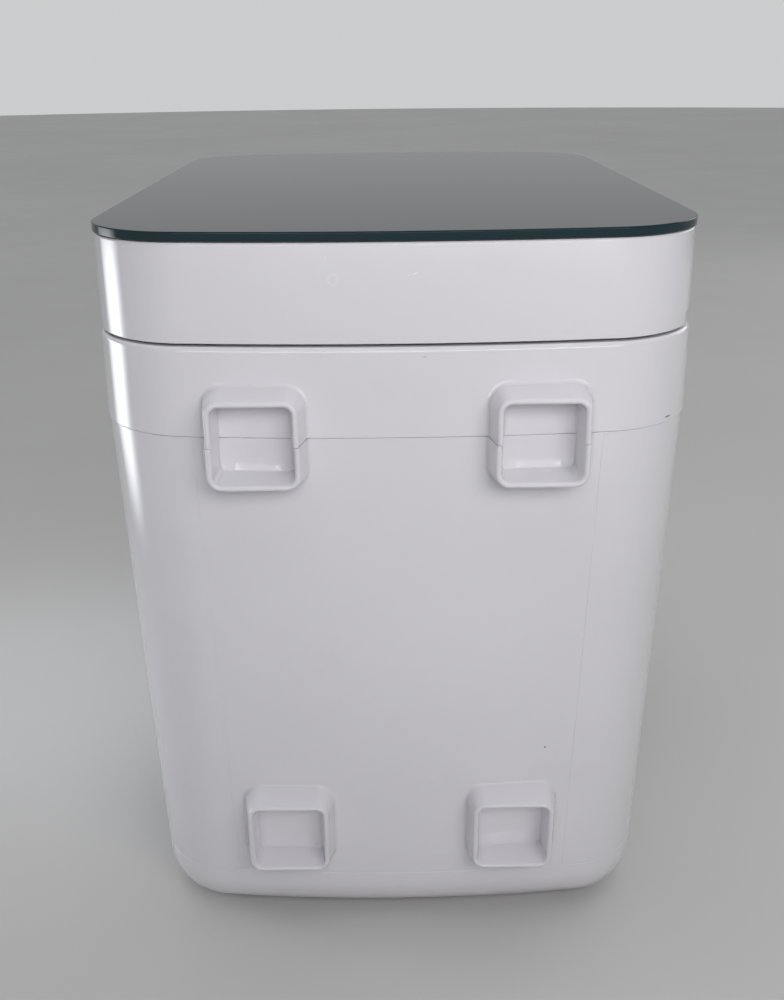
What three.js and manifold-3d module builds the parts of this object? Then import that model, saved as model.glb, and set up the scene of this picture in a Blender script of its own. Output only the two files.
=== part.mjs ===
// Filament dryer box: a four-spool heated dry box with a hinged glass-topped lid.
// Millimetres, +Z up. The user's side is +X, the lid is hinged along the -X side, and the
// stand-off loops are on the -Y end. The assembly is built about the middle of its glass
// and then shifted so that the origin is the middle of the bottom of the whole object's box.

import * as THREE from 'three';
import { mergeVertices } from 'three/addons/utils/BufferGeometryUtils.js';
import Module from 'manifold-3d';

const wasm = await Module();
wasm.setup();

// ---------------------------------------------------------------- driving dimensions

const GAP = 0.3; // clearance between neighbouring pieces
const WALL = 2.5; // moulded wall thickness

const GLASS_WIDTH = 260;
const GLASS_LENGTH = 377.6;
const GLASS_THICKNESS = 4;
const END_CROWN = 10.4; // how far both ends bow outwards at their middle
const CORNER_RADIUS = 40;

const TOTAL_HEIGHT = 347;
const BEYOND = { x: 140, y: 210 }; // half the size of a block that is wider than the box
const TUB_BOTTOM = 1.5;
const SEAM_Z = 262; // joint between tub and collar
const LID_Z = 301.3; // middle of the gap between collar and lid
const LID_GAP = 1.2;
const DRAFT = THREE.MathUtils.degToRad(2);
const BOTTOM_RADIUS = 24;

const TUB_TOP_INSET = -0.3; // insets are measured inwards from the glass outline
const COLLAR_BOTTOM_INSET = -0.9;
const COLLAR_TOP_INSET = -0.45;
const LID_BOTTOM_INSET = 0.3;
const LID_TOP_INSET = 0.6;
const SHELF_INSET = 10; // inner edge of the collar's sealing shelf

const GRIP_DEPTH = 2.3; // finger groove under the lid on the user's side
const GRIP_HEIGHT = 6;
const GRIP_FADE = [124, 128.8]; // the groove fades in between these distances from the middle

const LOOP_SIZE = 38.4; // outer width of a stand-off loop at its rim
const LOOP_CORNER = 6;
const LOOP_WALL = 2.5;
const LOOP_FLARE = 2.3;
const LOOP_NARROWING = 1.4;
const UPPER_LOOP = { x: 59.7, z: 262.7, reach: 14.2, tilt: 0 };
const LOWER_LOOP = { x: 53.8, z: 61.3, reach: 13, tilt: DRAFT };

const HINGE_X = -134.4;
const HINGE_RADIUS = 4.2;
const HINGE_Y = 80;
const PIN_RADIUS = 1.5;
const HOLE_RADIUS = PIN_RADIUS + GAP; // screws and hinge pins share one diameter
const OUTER_KNUCKLE = 10;
const MIDDLE_KNUCKLE = 21;
const KNUCKLE_GAP = 0.5;

const FLOOR_Z = 100; // underside of the chamber floor
const FLOOR_THICKNESS = 2.5;
const FLOOR_CLEARANCE = 0.7;

const STATION_PITCH = 80; // one spool every 80 mm along Y
const AXLE_X = 55;
const AXLE_Z = 124;
const AXLE_RADIUS = 3;
const ROLLER_RADIUS = 9;
const ROLLER_LENGTH = 70;
const AXLE_LENGTH = 4 * STATION_PITCH + 12;
const RIB = { width: 26, thickness: 6, top: 130 };

const BASE_RECESS = { x: 184, y: 294 };
const BASE_OPENING = { x: 160, y: 270 };
const BASE_PLATE_BOTTOM = 3;
const BASE_PLATE_THICKNESS = 2.2;
const LEDGE_TOP = 8;
const STANDOFF_TOP = 13.7;
const BAY_Z = 14; // lowest point of what stands on the standoffs

const BASE_SCREW = { x: 86, y: 40 };
const FOOT = { x: 70, y: 122, radius: 11, stem: 3 };
const FLOOR_POST = { x: 90, y: 145 };
const SCREW_LENGTH = { collar: 18, base: 10, floor: 13 };
const SCREW_HEAD = { radius: 2.8, height: 1.8 };
const EAR = { bottom: 254, radius: 6, room: 6.5 }; // the tub's lugs, screwed up into the collar
const COLLAR_BOSS = { top: 284, radius: 5.8 };
const TONGUE_BOTTOM = 250; // the collar's lip that drops inside the tub

const WINDOW = { width: 92, height: 34, z: 66, thickness: 2.2 };
const BUTTON = { z: 38, spacing: 24, radius: 5.6, proud: 1 };
const BOARD = { depth: 14, width: 108, height: 66, drop: 12 }; // behind the outer wall face
const INLET = { y: -80, z: 45, width: 46, height: 25 };
const OUTLET = { z: 240, hole: 6, bore: 2.2 };

const FAN = { x: 10, y: 95, width: 90, depth: 84, height: 32, cavity: 38, mouth: 26 };
const ROTOR = { disc: 34, hub: 13, vanes: 14, vaneRadius: 28, vaneLean: 0.6 };
const DUCT = { x0: 55.6, x1: 108, y0: 60, y1: 130, wall: 2 };
const HEATER = { z: 50, height: 26, slots: 8, pitch: 7 };
const POWER_BOARD = { x: 0, y: -80, width: 130, depth: 80 };

// ---------------------------------------------------------------- finishes

const finish = (color, roughness, metalness = 0) =>
  new THREE.MeshStandardMaterial({ color, roughness, metalness });

const FINISH = {
  white: finish(0xe8e6ec, 0.15),
  liner: finish(0xdddce0, 0.35),
  glass: finish(0x20282a, 0.04),
  rubber: finish(0x2a2a2c, 0.85),
  silicone: finish(0xc9c9cc, 0.7),
  steel: finish(0xb9bcc0, 0.3, 1),
  screw: finish(0x8f9296, 0.4, 1),
  roller: finish(0x303236, 0.55),
  tray: finish(0xcfd0d2, 0.45),
  black: finish(0x17181a, 0.4),
  board: finish(0x1f5a3a, 0.5),
  heater: finish(0xa9adb0, 0.4, 1),
  button: finish(0xd6d6da, 0.3),
};

// ---------------------------------------------------------------- solids

function toSolid(geometry, matrix) {
  const plain = geometry.index ? geometry.clone() : geometry;
  plain.deleteAttribute('normal');
  plain.deleteAttribute('uv');
  if (matrix) plain.applyMatrix4(matrix);
  const merged = mergeVertices(plain, 1e-4);
  return new wasm.Manifold(
    new wasm.Mesh({
      numProp: 3,
      vertProperties: new Float32Array(merged.attributes.position.array),
      triVerts: new Uint32Array(merged.index.array),
    }),
  );
}

function toGeometry(solid) {
  const mesh = solid.getMesh();
  const geometry = new THREE.BufferGeometry();
  geometry.setAttribute('position', new THREE.BufferAttribute(mesh.vertProperties, 3));
  geometry.setIndex(new THREE.BufferAttribute(mesh.triVerts, 1));
  return geometry;
}

const join = (first, ...rest) => rest.reduce((sum, solid) => sum.add(solid), first);
const cut = (first, ...rest) => rest.reduce((sum, solid) => sum.subtract(solid), first);
const at = (x, y, z) => new THREE.Matrix4().makeTranslation(x, y, z);

// A box between two opposite corners.
function block(x0, y0, z0, x1, y1, z1, matrix) {
  const box = new THREE.BoxGeometry(x1 - x0, y1 - y0, z1 - z0);
  box.translate((x0 + x1) / 2, (y0 + y1) / 2, (z0 + z1) / 2);
  return toSolid(box, matrix);
}

// An upright cylinder at x, y from z0 to z1, then moved by the matrix.
function post(x, y, z0, z1, radius, sides = 10, matrix = undefined) {
  const cylinder = new THREE.CylinderGeometry(radius, radius, z1 - z0, sides);
  cylinder.rotateX(Math.PI / 2);
  cylinder.translate(x, y, (z0 + z1) / 2);
  return toSolid(cylinder, matrix);
}

// A cylinder lying along Y, centred at y.
function rod(x, y, z, radius, length, sides = 16) {
  const cylinder = new THREE.CylinderGeometry(radius, radius, length, sides);
  cylinder.translate(x, y, z);
  return toSolid(cylinder);
}

// A turned piece about +Z: the profile is a closed list of [radius, z].
function turned(profile, sides = 14, matrix = undefined) {
  const points = profile.map(([radius, z]) => new THREE.Vector2(radius, z));
  if (profile[0][0] > 0) points.push(points[0].clone());
  const lathe = new THREE.LatheGeometry(points, sides);
  lathe.rotateX(Math.PI / 2);
  return toSolid(lathe, matrix);
}

// A rounded rectangle plate centred on the local origin, from local z0 to z1.
function plate(width, height, radius, z0, z1, matrix) {
  const shape = new THREE.Shape();
  const w = width / 2;
  const h = height / 2;
  shape.moveTo(w, -h + radius);
  shape.absarc(w - radius, h - radius, radius, 0, Math.PI / 2);
  shape.absarc(-w + radius, h - radius, radius, Math.PI / 2, Math.PI);
  shape.absarc(-w + radius, -h + radius, radius, Math.PI, Math.PI * 1.5);
  shape.absarc(w - radius, -h + radius, radius, Math.PI * 1.5, Math.PI * 2);
  const geometry = new THREE.ExtrudeGeometry(shape, {
    depth: z1 - z0,
    bevelEnabled: false,
    curveSegments: 3,
  });
  geometry.translate(0, 0, z0);
  return toSolid(geometry, matrix);
}

// ---------------------------------------------------------------- the plan outline

const CORNER_STEPS = 6;
const END_STEPS = 4;

const crownAt = (x) => END_CROWN * Math.max(0, 1 - ((2 * x) / GLASS_WIDTH) ** 2);
const gripAt = (x) => THREE.MathUtils.smoothstep(x, ...GRIP_FADE);

// Counter-clockwise points of the box's outline, moved inwards by the inset. The grip is an
// extra inset that fades in on the user's long side only.
function outline(inset, z, grip = 0) {
  const radius = Math.max(CORNER_RADIUS - inset, 2);
  const x = GLASS_WIDTH / 2 - inset - radius;
  const y = GLASS_LENGTH / 2 - END_CROWN - inset - radius;
  const points = [];
  const corner = (cx, cy, start) => {
    for (let i = 0; i <= CORNER_STEPS; i += 1) {
      const angle = start + (i / CORNER_STEPS) * (Math.PI / 2);
      points.push([cx + radius * Math.cos(angle), cy + radius * Math.sin(angle)]);
    }
  };
  const end = (side) => {
    for (let i = 1; i < END_STEPS; i += 1) {
      points.push([side * x * (1 - (2 * i) / END_STEPS), side * (y + radius)]);
    }
  };
  corner(x, -y, -Math.PI / 2);
  corner(x, y, 0);
  end(1);
  corner(-x, y, Math.PI / 2);
  corner(-x, -y, Math.PI);
  end(-1);
  return points.map(([px, py]) => [
    px - grip * gripAt(px),
    py + Math.sign(py) * crownAt(px),
    z,
  ]);
}

// Skins a stack of equal rings. An open stack is capped at both ends; a looped one joins its
// last ring to its first.
function skin(rings, looped) {
  const count = rings[0].length;
  const positions = rings.flat(2);
  const index = [];
  const last = looped ? rings.length : rings.length - 1;
  for (let j = 0; j < last; j += 1) {
    const low = j * count;
    const high = ((j + 1) % rings.length) * count;
    for (let i = 0; i < count; i += 1) {
      const next = (i + 1) % count;
      index.push(low + i, low + next, high + next, low + i, high + next, high + i);
    }
  }
  if (!looped) {
    const contour = rings[0].map(([x, y]) => new THREE.Vector2(x, y));
    const top = (rings.length - 1) * count;
    THREE.ShapeUtils.triangulateShape(contour, []).forEach(([a, b, c]) => index.push(a, c, b));
    const upper = rings.at(-1).map(([x, y]) => new THREE.Vector2(x, y));
    THREE.ShapeUtils.triangulateShape(upper, []).forEach(([a, b, c]) =>
      index.push(top + a, top + b, top + c),
    );
  }
  const geometry = new THREE.BufferGeometry();
  geometry.setAttribute('position', new THREE.Float32BufferAttribute(positions, 3));
  geometry.setIndex(index);
  return toSolid(geometry);
}

const stack = (profile) => skin(profile.map((p) => outline(...p)), false);
const band = (profile) => skin(profile.map((p) => outline(...p)), true);

// ---------------------------------------------------------------- the tub's drafted walls

const tubInset = (z) => TUB_TOP_INSET + Math.tan(DRAFT) * (SEAM_Z - z);
const halfWidthAt = (z) => GLASS_WIDTH / 2 - tubInset(z);
const ROUND_Z = TUB_BOTTOM + BOTTOM_RADIUS; // where the bottom rounding starts

// Profile of the rounded bottom and the drafted wall, a wall thickness in from the outside.
function tubProfile(thickness, steps, lowest, highest) {
  const radius = BOTTOM_RADIUS - thickness;
  const start = Math.asin((ROUND_Z - lowest) / radius);
  const profile = [];
  for (let i = 0; i < steps; i += 1) {
    const angle = start * (1 - i / steps);
    const inset = tubInset(ROUND_Z) + thickness + radius * (1 - Math.cos(angle));
    profile.push([inset, ROUND_Z - radius * Math.sin(angle)]);
  }
  profile.push([tubInset(ROUND_Z) + thickness, ROUND_Z]);
  profile.push([tubInset(highest) + thickness, highest]);
  return profile;
}

// A frame on a long wall's outer face: local X along the wall, Y up it and Z straight out.
function wallFrame(side, y, z) {
  const out = new THREE.Vector3(side * Math.cos(DRAFT), 0, -Math.sin(DRAFT));
  const up = new THREE.Vector3(side * Math.sin(DRAFT), 0, Math.cos(DRAFT));
  const along = new THREE.Vector3(0, side, 0);
  const frame = new THREE.Matrix4().makeBasis(along, up, out);
  return frame.setPosition(side * halfWidthAt(z), y, z);
}

// ---------------------------------------------------------------- stand-off loops

function roundedSquare(half, radius, depth) {
  const centre = half - radius;
  const steps = 3;
  const ring = [];
  for (let side = 0; side < 4; side += 1) {
    for (let i = 0; i <= steps; i += 1) {
      const angle = (side + i / steps) * (Math.PI / 2);
      const cx = side === 0 || side === 3 ? centre : -centre;
      const cy = side < 2 ? centre : -centre;
      ring.push([cx + radius * Math.cos(angle), cy + radius * Math.sin(angle), depth]);
    }
  }
  return ring;
}

// The section of a loop's wall as [outward offset, distance from the box wall].
function loopSection(reach) {
  const buried = -4;
  const nose = LOOP_WALL / 2;
  return [
    [LOOP_FLARE + 1.2, buried],
    [LOOP_FLARE + 1.2, 0],
    [LOOP_FLARE, 1.4],
    [0, reach - nose],
    [-0.35, reach - 0.4],
    [-nose, reach],
    [-LOOP_WALL + 0.35, reach - 0.4],
    [-LOOP_WALL, reach - nose],
    [-LOOP_WALL - LOOP_NARROWING, buried],
  ];
}

function loop({ x, z, reach, tilt }, side) {
  const rings = loopSection(reach).map(([offset, depth]) =>
    roundedSquare(LOOP_SIZE / 2 + offset, LOOP_CORNER + offset, depth),
  );
  const frame = new THREE.Matrix4().makeRotationX(Math.PI / 2 + tilt);
  frame.setPosition(side * x, -endWallY(x, z), z);
  return skin(rings, true).transform(frame.toArray());
}

function endWallY(x, z) {
  const inset = z > SEAM_Z ? COLLAR_BOTTOM_INSET : tubInset(z);
  return GLASS_LENGTH / 2 - END_CROWN - inset + crownAt(x);
}

const upperLoops = [-1, 1].map((side) => loop(UPPER_LOOP, side));
const lowerLoops = [-1, 1].map((side) => loop(LOWER_LOOP, side));

// ---------------------------------------------------------------- fixing points

// Middle of the collar's screw in each corner, a little way in from the corner's arc.
const CORNER_BOSS_RADIUS = 33;
const cornerBosses = [1, -1].flatMap((sx) =>
  [1, -1].map((sy) => {
    const reach = CORNER_BOSS_RADIUS * Math.SQRT1_2;
    const x = GLASS_WIDTH / 2 - CORNER_RADIUS + reach;
    const y = GLASS_LENGTH / 2 - END_CROWN - CORNER_RADIUS + reach + crownAt(x);
    return [sx * x, sy * y];
  }),
);

const mirrored = ({ x, y }) => [
  [x, y],
  [x, -y],
  [-x, y],
  [-x, -y],
];

const stationYs = [-1.5, -0.5, 0.5, 1.5].map((step) => step * STATION_PITCH);
const ribYs = [-2, -1, 0, 1, 2].map((step) => step * STATION_PITCH);
const hingeYs = [-HINGE_Y, HINGE_Y];
const buttonYs = [-BUTTON.spacing, 0, BUTTON.spacing];

// ---------------------------------------------------------------- outer shells

function tubSolid() {
  const outside = stack(tubProfile(0, 5, TUB_BOTTOM, SEAM_Z));
  const cavity = stack(tubProfile(WALL, 4, LEDGE_TOP, SEAM_Z + 20));
  const collarZone = block(-BEYOND.x, -BEYOND.y, SEAM_Z, BEYOND.x, BEYOND.y, SEAM_Z + 60);
  const shell = cut(join(outside, ...lowerLoops, ...upperLoops), cavity, collarZone);
  const ears = cornerBosses.map(([x, y]) => post(x, y, EAR.bottom, SEAM_Z - GAP, EAR.radius));
  const floorPosts = mirrored(FLOOR_POST).map(([x, y]) =>
    post(x, y, LEDGE_TOP - 1, FLOOR_Z - GAP, 5),
  );
  const baseBosses = mirrored(BASE_SCREW).map(([x, y]) => post(x, y, LEDGE_TOP - 1, 16, 4));
  const boardPosts = [-1, 1].flatMap((u) =>
    [-1, 1].map((v) => {
      const up = v * (BOARD.height / 2 - 4) - BOARD.drop;
      const along = u * (BOARD.width / 2 - 3.2);
      return post(along, up, GAP - BOARD.depth, -1, 2.4, 8, wallFrame(1, 0, WINDOW.z));
    }),
  );
  const whole = join(shell, ...ears, ...floorPosts, ...baseBosses, ...boardPosts);
  return cut(
    whole,
    block(-BASE_RECESS.x / 2, -BASE_RECESS.y / 2, 0, BASE_RECESS.x / 2, BASE_RECESS.y / 2, 5.5),
    block(-BASE_OPENING.x / 2, -BASE_OPENING.y / 2, 0, BASE_OPENING.x / 2, BASE_OPENING.y / 2, 10),
    ...cornerBosses.map(([x, y]) => post(x, y, 250, SEAM_Z + 2, HOLE_RADIUS, 8)),
    ...mirrored(FLOOR_POST).map(([x, y]) => post(x, y, 86, FLOOR_Z, HOLE_RADIUS, 8)),
    ...mirrored(BASE_SCREW).map(([x, y]) => post(x, y, 2, 14.5, HOLE_RADIUS, 8)),
    ...tubWallHoles(),
  );
}

function tubWallHoles() {
  const window = wallFrame(1, 0, WINDOW.z);
  const inlet = wallFrame(-1, INLET.y, INLET.z);
  const through = WALL + 2;
  const slack = 2 * GAP;
  return [
    plate(WINDOW.width + slack, WINDOW.height + slack, 4, -through, 5, window),
    plate(INLET.width + slack, INLET.height + slack, 3, -through, 5, inlet),
    ...buttonYs.map((y) =>
      post(0, 0, -through, 5, BUTTON.radius + GAP, 20, wallFrame(1, y, BUTTON.z)),
    ),
    ...stationYs.map((y) =>
      post(0, 0, -through, 5, OUTLET.hole, 20, wallFrame(-1, y, OUTLET.z)),
    ),
  ];
}

function collarSolid() {
  const top = LID_Z - LID_GAP / 2;
  const bottom = SEAM_Z + GAP;
  const ring = band([
    [COLLAR_BOTTOM_INSET, bottom],
    [COLLAR_TOP_INSET, top - 2.1],
    [COLLAR_TOP_INSET + 0.35, top - 0.9, 0.5],
    [COLLAR_TOP_INSET + 1.35, top, 1],
    [SHELF_INSET, top],
    [SHELF_INSET, top - 2.3],
    [COLLAR_TOP_INSET + 2.8, top - 2.3],
    [COLLAR_BOTTOM_INSET + 2.8, bottom + 4.7],
    [4.9, bottom + 2.7],
    [5.3, TONGUE_BOTTOM],
    [3.2, TONGUE_BOTTOM],
    [2.8, bottom],
  ]);
  const tubZone = block(-BEYOND.x, -BEYOND.y, SEAM_Z - 60, BEYOND.x, BEYOND.y, bottom);
  const inside = stack([
    [1.2, SEAM_Z],
    [1.2, SEAM_Z + 40],
  ]);
  const upperHalves = upperLoops.map((solid) => cut(solid, inside, tubZone));
  const bosses = cornerBosses.map(([x, y]) => post(x, y, bottom, COLLAR_BOSS.top, COLLAR_BOSS.radius));
  const knuckles = hingeYs.flatMap((y) =>
    [-1, 1].map((side) => collarKnuckle(y + side * (MIDDLE_KNUCKLE + OUTER_KNUCKLE) / 2
      + side * KNUCKLE_GAP)),
  );
  const earRoom = cornerBosses.map(([x, y]) => post(x, y, 240, bottom - 0.01, EAR.room));
  return cut(
    join(cut(ring, ...earRoom), ...upperHalves, ...bosses, ...knuckles),
    ...cornerBosses.map(([x, y]) => post(x, y, 255, 278, HOLE_RADIUS, 8)),
    ...hingeYs.map((y) => rod(HINGE_X, y, LID_Z, HOLE_RADIUS, 60, 12)),
  );
}

function collarKnuckle(y) {
  const half = OUTER_KNUCKLE / 2;
  return join(
    rod(HINGE_X, y, LID_Z, HINGE_RADIUS, OUTER_KNUCKLE),
    block(HINGE_X - 2, y - half, LID_Z - 12, -129.4, y + half, LID_Z - 2),
  );
}

function lidFrameSolid() {
  const bottom = LID_Z + LID_GAP / 2;
  const top = TOTAL_HEIGHT - GLASS_THICKNESS - GAP;
  const flange = 14;
  const ring = band([
    [LID_BOTTOM_INSET, bottom, GRIP_DEPTH],
    [LID_BOTTOM_INSET, bottom + GRIP_HEIGHT],
    [LID_TOP_INSET, top - 1],
    [LID_TOP_INSET + 0.8, top],
    [flange, top],
    [flange, top - 2.5],
    [LID_TOP_INSET + 2.6, top - 2.5],
    [LID_BOTTOM_INSET + 2.7, bottom + 10],
    [LID_BOTTOM_INSET + 2.6, bottom + 4, 2],
    [LID_BOTTOM_INSET + 2.6, bottom, 2],
  ]);
  const knuckles = hingeYs.map((y) => {
    const half = MIDDLE_KNUCKLE / 2;
    return join(
      rod(HINGE_X, y, LID_Z, HINGE_RADIUS, MIDDLE_KNUCKLE),
      block(HINGE_X - 2, y - half, LID_Z + 1, -128.8, y + half, LID_Z + 11),
    );
  });
  const pinHoles = hingeYs.map((y) => rod(HINGE_X, y, LID_Z, HOLE_RADIUS, 60, 12));
  return cut(join(ring, ...knuckles), ...pinHoles);
}

function lidLinerSolid() {
  const top = TOTAL_HEIGHT - GLASS_THICKNESS - GAP - 2.5 - GAP;
  return band([
    [6, LID_Z + 3.7],
    [6, top - 2],
    [4, top - 2],
    [4, top],
    [12, top],
    [12, top - 2],
    [8, top - 2],
    [8, LID_Z + 3.7],
  ]);
}

function gasketSolid() {
  const z = LID_Z;
  return band([
    [6.2, z - 0.2],
    [5.4, z + 1.7],
    [6, z + 3.4],
    [8, z + 3.4],
    [8.6, z + 1.7],
    [7.8, z - 0.2],
  ]);
}

function glassSolid() {
  const bottom = TOTAL_HEIGHT - GLASS_THICKNESS;
  return stack([
    [0.5, bottom],
    [0, bottom + 0.5],
    [0, TOTAL_HEIGHT - 0.6],
    [0.6, TOTAL_HEIGHT],
  ]);
}

// ---------------------------------------------------------------- base and feet

const standoffs = [
  [DUCT.x0 + 10, DUCT.y0 + 12],
  [DUCT.x0 + 10, DUCT.y1 - 12],
  ...[-35, 35].flatMap((dx) => [-34, 34].map((dy) => [FAN.x + dx, FAN.y + dy])),
  ...[-58, 58].flatMap((dx) => [-34, 34].map((dy) => [POWER_BOARD.x + dx, POWER_BOARD.y + dy])),
];

function basePlateSolid() {
  const z0 = BASE_PLATE_BOTTOM;
  const z1 = BASE_PLATE_BOTTOM + BASE_PLATE_THICKNESS;
  const sheet = plate(BASE_RECESS.x - 2 * GAP, BASE_RECESS.y - 2 * GAP, 1, z0, z1);
  const slots = [-2, -1, 0, 1, 2].map((step) =>
    block(-2, -22, z0 - 1, 2, 22, z1 + 1, at(POWER_BOARD.x + step * 12, POWER_BOARD.y, 0)),
  );
  return cut(
    join(sheet, ...standoffs.map(([x, y]) => post(x, y, z1 - 1, STANDOFF_TOP, 3.5, 8))),
    ...slots,
    ...mirrored(BASE_SCREW).map(([x, y]) => post(x, y, 0, 10, HOLE_RADIUS, 8)),
    ...mirrored(FOOT).map(([x, y]) => post(x, y, 0, 10, FOOT.stem + GAP)),
  );
}

function footSolid() {
  const top = BASE_PLATE_BOTTOM - GAP;
  return turned([
    [0, 0],
    [FOOT.radius - 1, 0],
    [FOOT.radius, 1],
    [FOOT.radius, top],
    [FOOT.stem, top],
    [FOOT.stem, 7],
    [FOOT.stem - 0.6, 8],
    [0, 8],
  ]);
}

// A slotted pan-head screw about +Z: its head stands on z = 0, its shank runs down from it.
function screwSolid(length) {
  const solid = turned(
    [
      [0, -length],
      [PIN_RADIUS, -length + 1],
      [PIN_RADIUS, 0],
      [SCREW_HEAD.radius, 0],
      [SCREW_HEAD.radius, 1.1],
      [2, SCREW_HEAD.height],
      [0, SCREW_HEAD.height],
    ],
    8,
  );
  return cut(solid, block(-1.9, -0.4, 1, 1.9, 0.4, 3));
}

// ---------------------------------------------------------------- chamber floor and rollers

function slotField(x, y, count) {
  const pitch = 9;
  return Array.from({ length: count }, (_, i) => {
    const offset = (i - (count - 1) / 2) * pitch;
    return block(-17, -2, FLOOR_Z - 1, 17, 2, FLOOR_Z + 6, at(x, y + offset, 0));
  });
}

function chamberFloorSolid() {
  const inset = tubInset(FLOOR_Z) + WALL + FLOOR_CLEARANCE;
  const top = FLOOR_Z + FLOOR_THICKNESS;
  const sheet = stack([
    [inset, FLOOR_Z],
    [inset, top],
  ]);
  const ribs = [-1, 1].flatMap((side) =>
    ribYs.map((y) => {
      const x = side * AXLE_X;
      const across = RIB.width / 2;
      const along = RIB.thickness / 2;
      const rib = block(x - across, y - along, top - 1, x + across, y + along, RIB.top);
      const notch = AXLE_RADIUS + GAP;
      return cut(
        rib,
        rod(x, y, AXLE_Z, notch, RIB.thickness + 2),
        block(x - notch, y - 10, AXLE_Z, x + notch, y + 10, 140),
      );
    }),
  );
  const ductX = (DUCT.x0 + DUCT.x1) / 2 + 8;
  const ductY = (DUCT.y0 + DUCT.y1) / 2;
  return cut(
    join(sheet, ...ribs),
    ...slotField(ductX, ductY, 6),
    ...slotField(-94, -60, 6),
    ...slotField(-94, 60, 6),
    ...mirrored(FLOOR_POST).map(([x, y]) => post(x, y, 98, 106, HOLE_RADIUS, 8)),
  );
}

function rollerSolid() {
  const half = ROLLER_LENGTH / 2;
  const bore = AXLE_RADIUS + GAP;
  return turned([
    [bore, -half],
    [ROLLER_RADIUS, -half],
    [ROLLER_RADIUS, half],
    [bore, half],
  ]);
}

// ---------------------------------------------------------------- drying pieces

const TRAY = { width: 62, length: 150, height: 9, bottom: FLOOR_Z + FLOOR_THICKNESS + GAP };

function trayPlate(shrink, z0, z1) {
  return plate(TRAY.width - 2 * shrink, TRAY.length - 2 * shrink, 5 - shrink, z0, z1);
}

function desiccantTraySolid() {
  const z = TRAY.bottom;
  return cut(trayPlate(0, z, z + TRAY.height), trayPlate(1.6, z + 1.6, z + TRAY.height + 1));
}

function desiccantLidSolid() {
  const z = TRAY.bottom + TRAY.height + GAP;
  const slots = Array.from({ length: 9 }, (_, i) =>
    block(-22, -2, z - 6, 22, 2, z + 6, at(0, (i - 4) * 14, 0)),
  );
  return cut(join(trayPlate(0, z, z + 1.8), trayPlate(2.2, z - 2, z + 1)), ...slots);
}

function fanHousingSolid() {
  const { x, y, width, depth, height, cavity } = FAN;
  const top = BAY_Z + height;
  const body = plate(width, depth, 8, BAY_Z, top, at(x, y, 0));
  return cut(
    body,
    post(x, y, BAY_Z + 2, top - 2, cavity, 28),
    post(x, y, top - 4, top + 2, FAN.mouth, 20),
    block(x, y + 4, BAY_Z + 3, x + width, y + cavity - 1, top - 3),
  );
}

function fanRotorSolid() {
  const { x, y, height } = FAN;
  const low = BAY_Z + 3.5;
  const high = BAY_Z + height - 5;
  const vanes = Array.from({ length: ROTOR.vanes }, (_, i) => {
    const turn = new THREE.Matrix4().makeRotationZ((i / ROTOR.vanes) * Math.PI * 2);
    const lean = new THREE.Matrix4().makeTranslation(ROTOR.vaneRadius, 0, 0);
    lean.multiply(new THREE.Matrix4().makeRotationZ(ROTOR.vaneLean));
    return block(-6.5, -0.8, low + 1, 6.5, 0.8, high, at(x, y, 0).multiply(turn).multiply(lean));
  });
  const disc = post(x, y, low, low + 2, ROTOR.disc, 28);
  return join(disc, post(x, y, low, high - 2, ROTOR.hub, 20), ...vanes);
}

function heaterDuctSolid() {
  const { x0, x1, y0, y1, wall } = DUCT;
  const top = FLOOR_Z - GAP;
  const rail = HEATER.z;
  const body = block(x0, y0, BAY_Z, x1, y1, top);
  const inside = block(x0 + wall, y0 + wall, BAY_Z + wall, x1 - wall, y1 - wall, top + 1);
  const inletY = FAN.y + 4;
  const inlet = block(x0 - 1, inletY, BAY_Z + 3, x0 + 5, y1 - wall - 1, BAY_Z + FAN.height - 3);
  return join(
    cut(body, inside, inlet),
    block(x0 + 1, y0 + 1, rail - 2, x1 - 1, y0 + 5, rail),
    block(x0 + 1, y1 - 5, rail - 2, x1 - 1, y1 - 1, rail),
  );
}

function heaterCoreSolid() {
  const { x0, x1, y0, y1, wall } = DUCT;
  const room = wall + 0.6;
  const z = HEATER.z + GAP;
  const core = block(x0 + room, y0 + room, z, x1 - room, y1 - room, z + HEATER.height);
  const slots = Array.from({ length: HEATER.slots }, (_, i) => {
    const y = (y0 + y1) / 2 + (i - (HEATER.slots - 1) / 2) * HEATER.pitch;
    return block(x0 + room + 3, y - 2.2, z - 1, x1 - room - 3, y + 2.2, z + 30);
  });
  return cut(core, ...slots);
}

// ---------------------------------------------------------------- electronics

function powerBoardSolid() {
  const { x, y, width, depth } = POWER_BOARD;
  const top = BAY_Z + 1.6;
  return join(
    plate(width, depth, 2, BAY_Z, top, at(x, y, 0)),
    block(x - 20, y - 30, top - 0.5, x + 14, y, top + 26),
    block(x + 30, y - 32, top - 0.5, x + 34, y + 30, top + 24),
    post(x - 42, y + 14, top - 0.5, top + 24, 9, 14),
    post(x - 42, y - 14, top - 0.5, top + 24, 9, 14),
    block(x - 10, y + 12, top - 0.5, x + 18, y + 24, top + 14),
  );
}

function controlBoardSolid() {
  const frame = wallFrame(1, 0, WINDOW.z);
  const face = -BOARD.depth;
  const drop = BUTTON.z - WINDOW.z;
  const middle = frame.clone().multiply(at(0, -BOARD.drop, 0));
  return join(
    plate(BOARD.width, BOARD.height, 2, face - 1.6, face, middle),
    block(-30, -8, face - 5, 30, 14, face - 1, frame),
    ...buttonYs.map((y) =>
      block(y - 3, drop - 3, face - 0.5, y + 3, drop + 3, face + 1.6, frame),
    ),
  );
}

function displayModuleSolid() {
  const face = -(WALL + GAP);
  const body = plate(WINDOW.width + 4, WINDOW.height + 4, 2, face - 6, face);
  const screen = plate(WINDOW.width - 12, WINDOW.height - 8, 1, face - 1.5, face + 5);
  return cut(body, screen);
}

const displayWindowSolid = () =>
  plate(WINDOW.width, WINDOW.height, 4, -WINDOW.thickness, 0);

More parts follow.
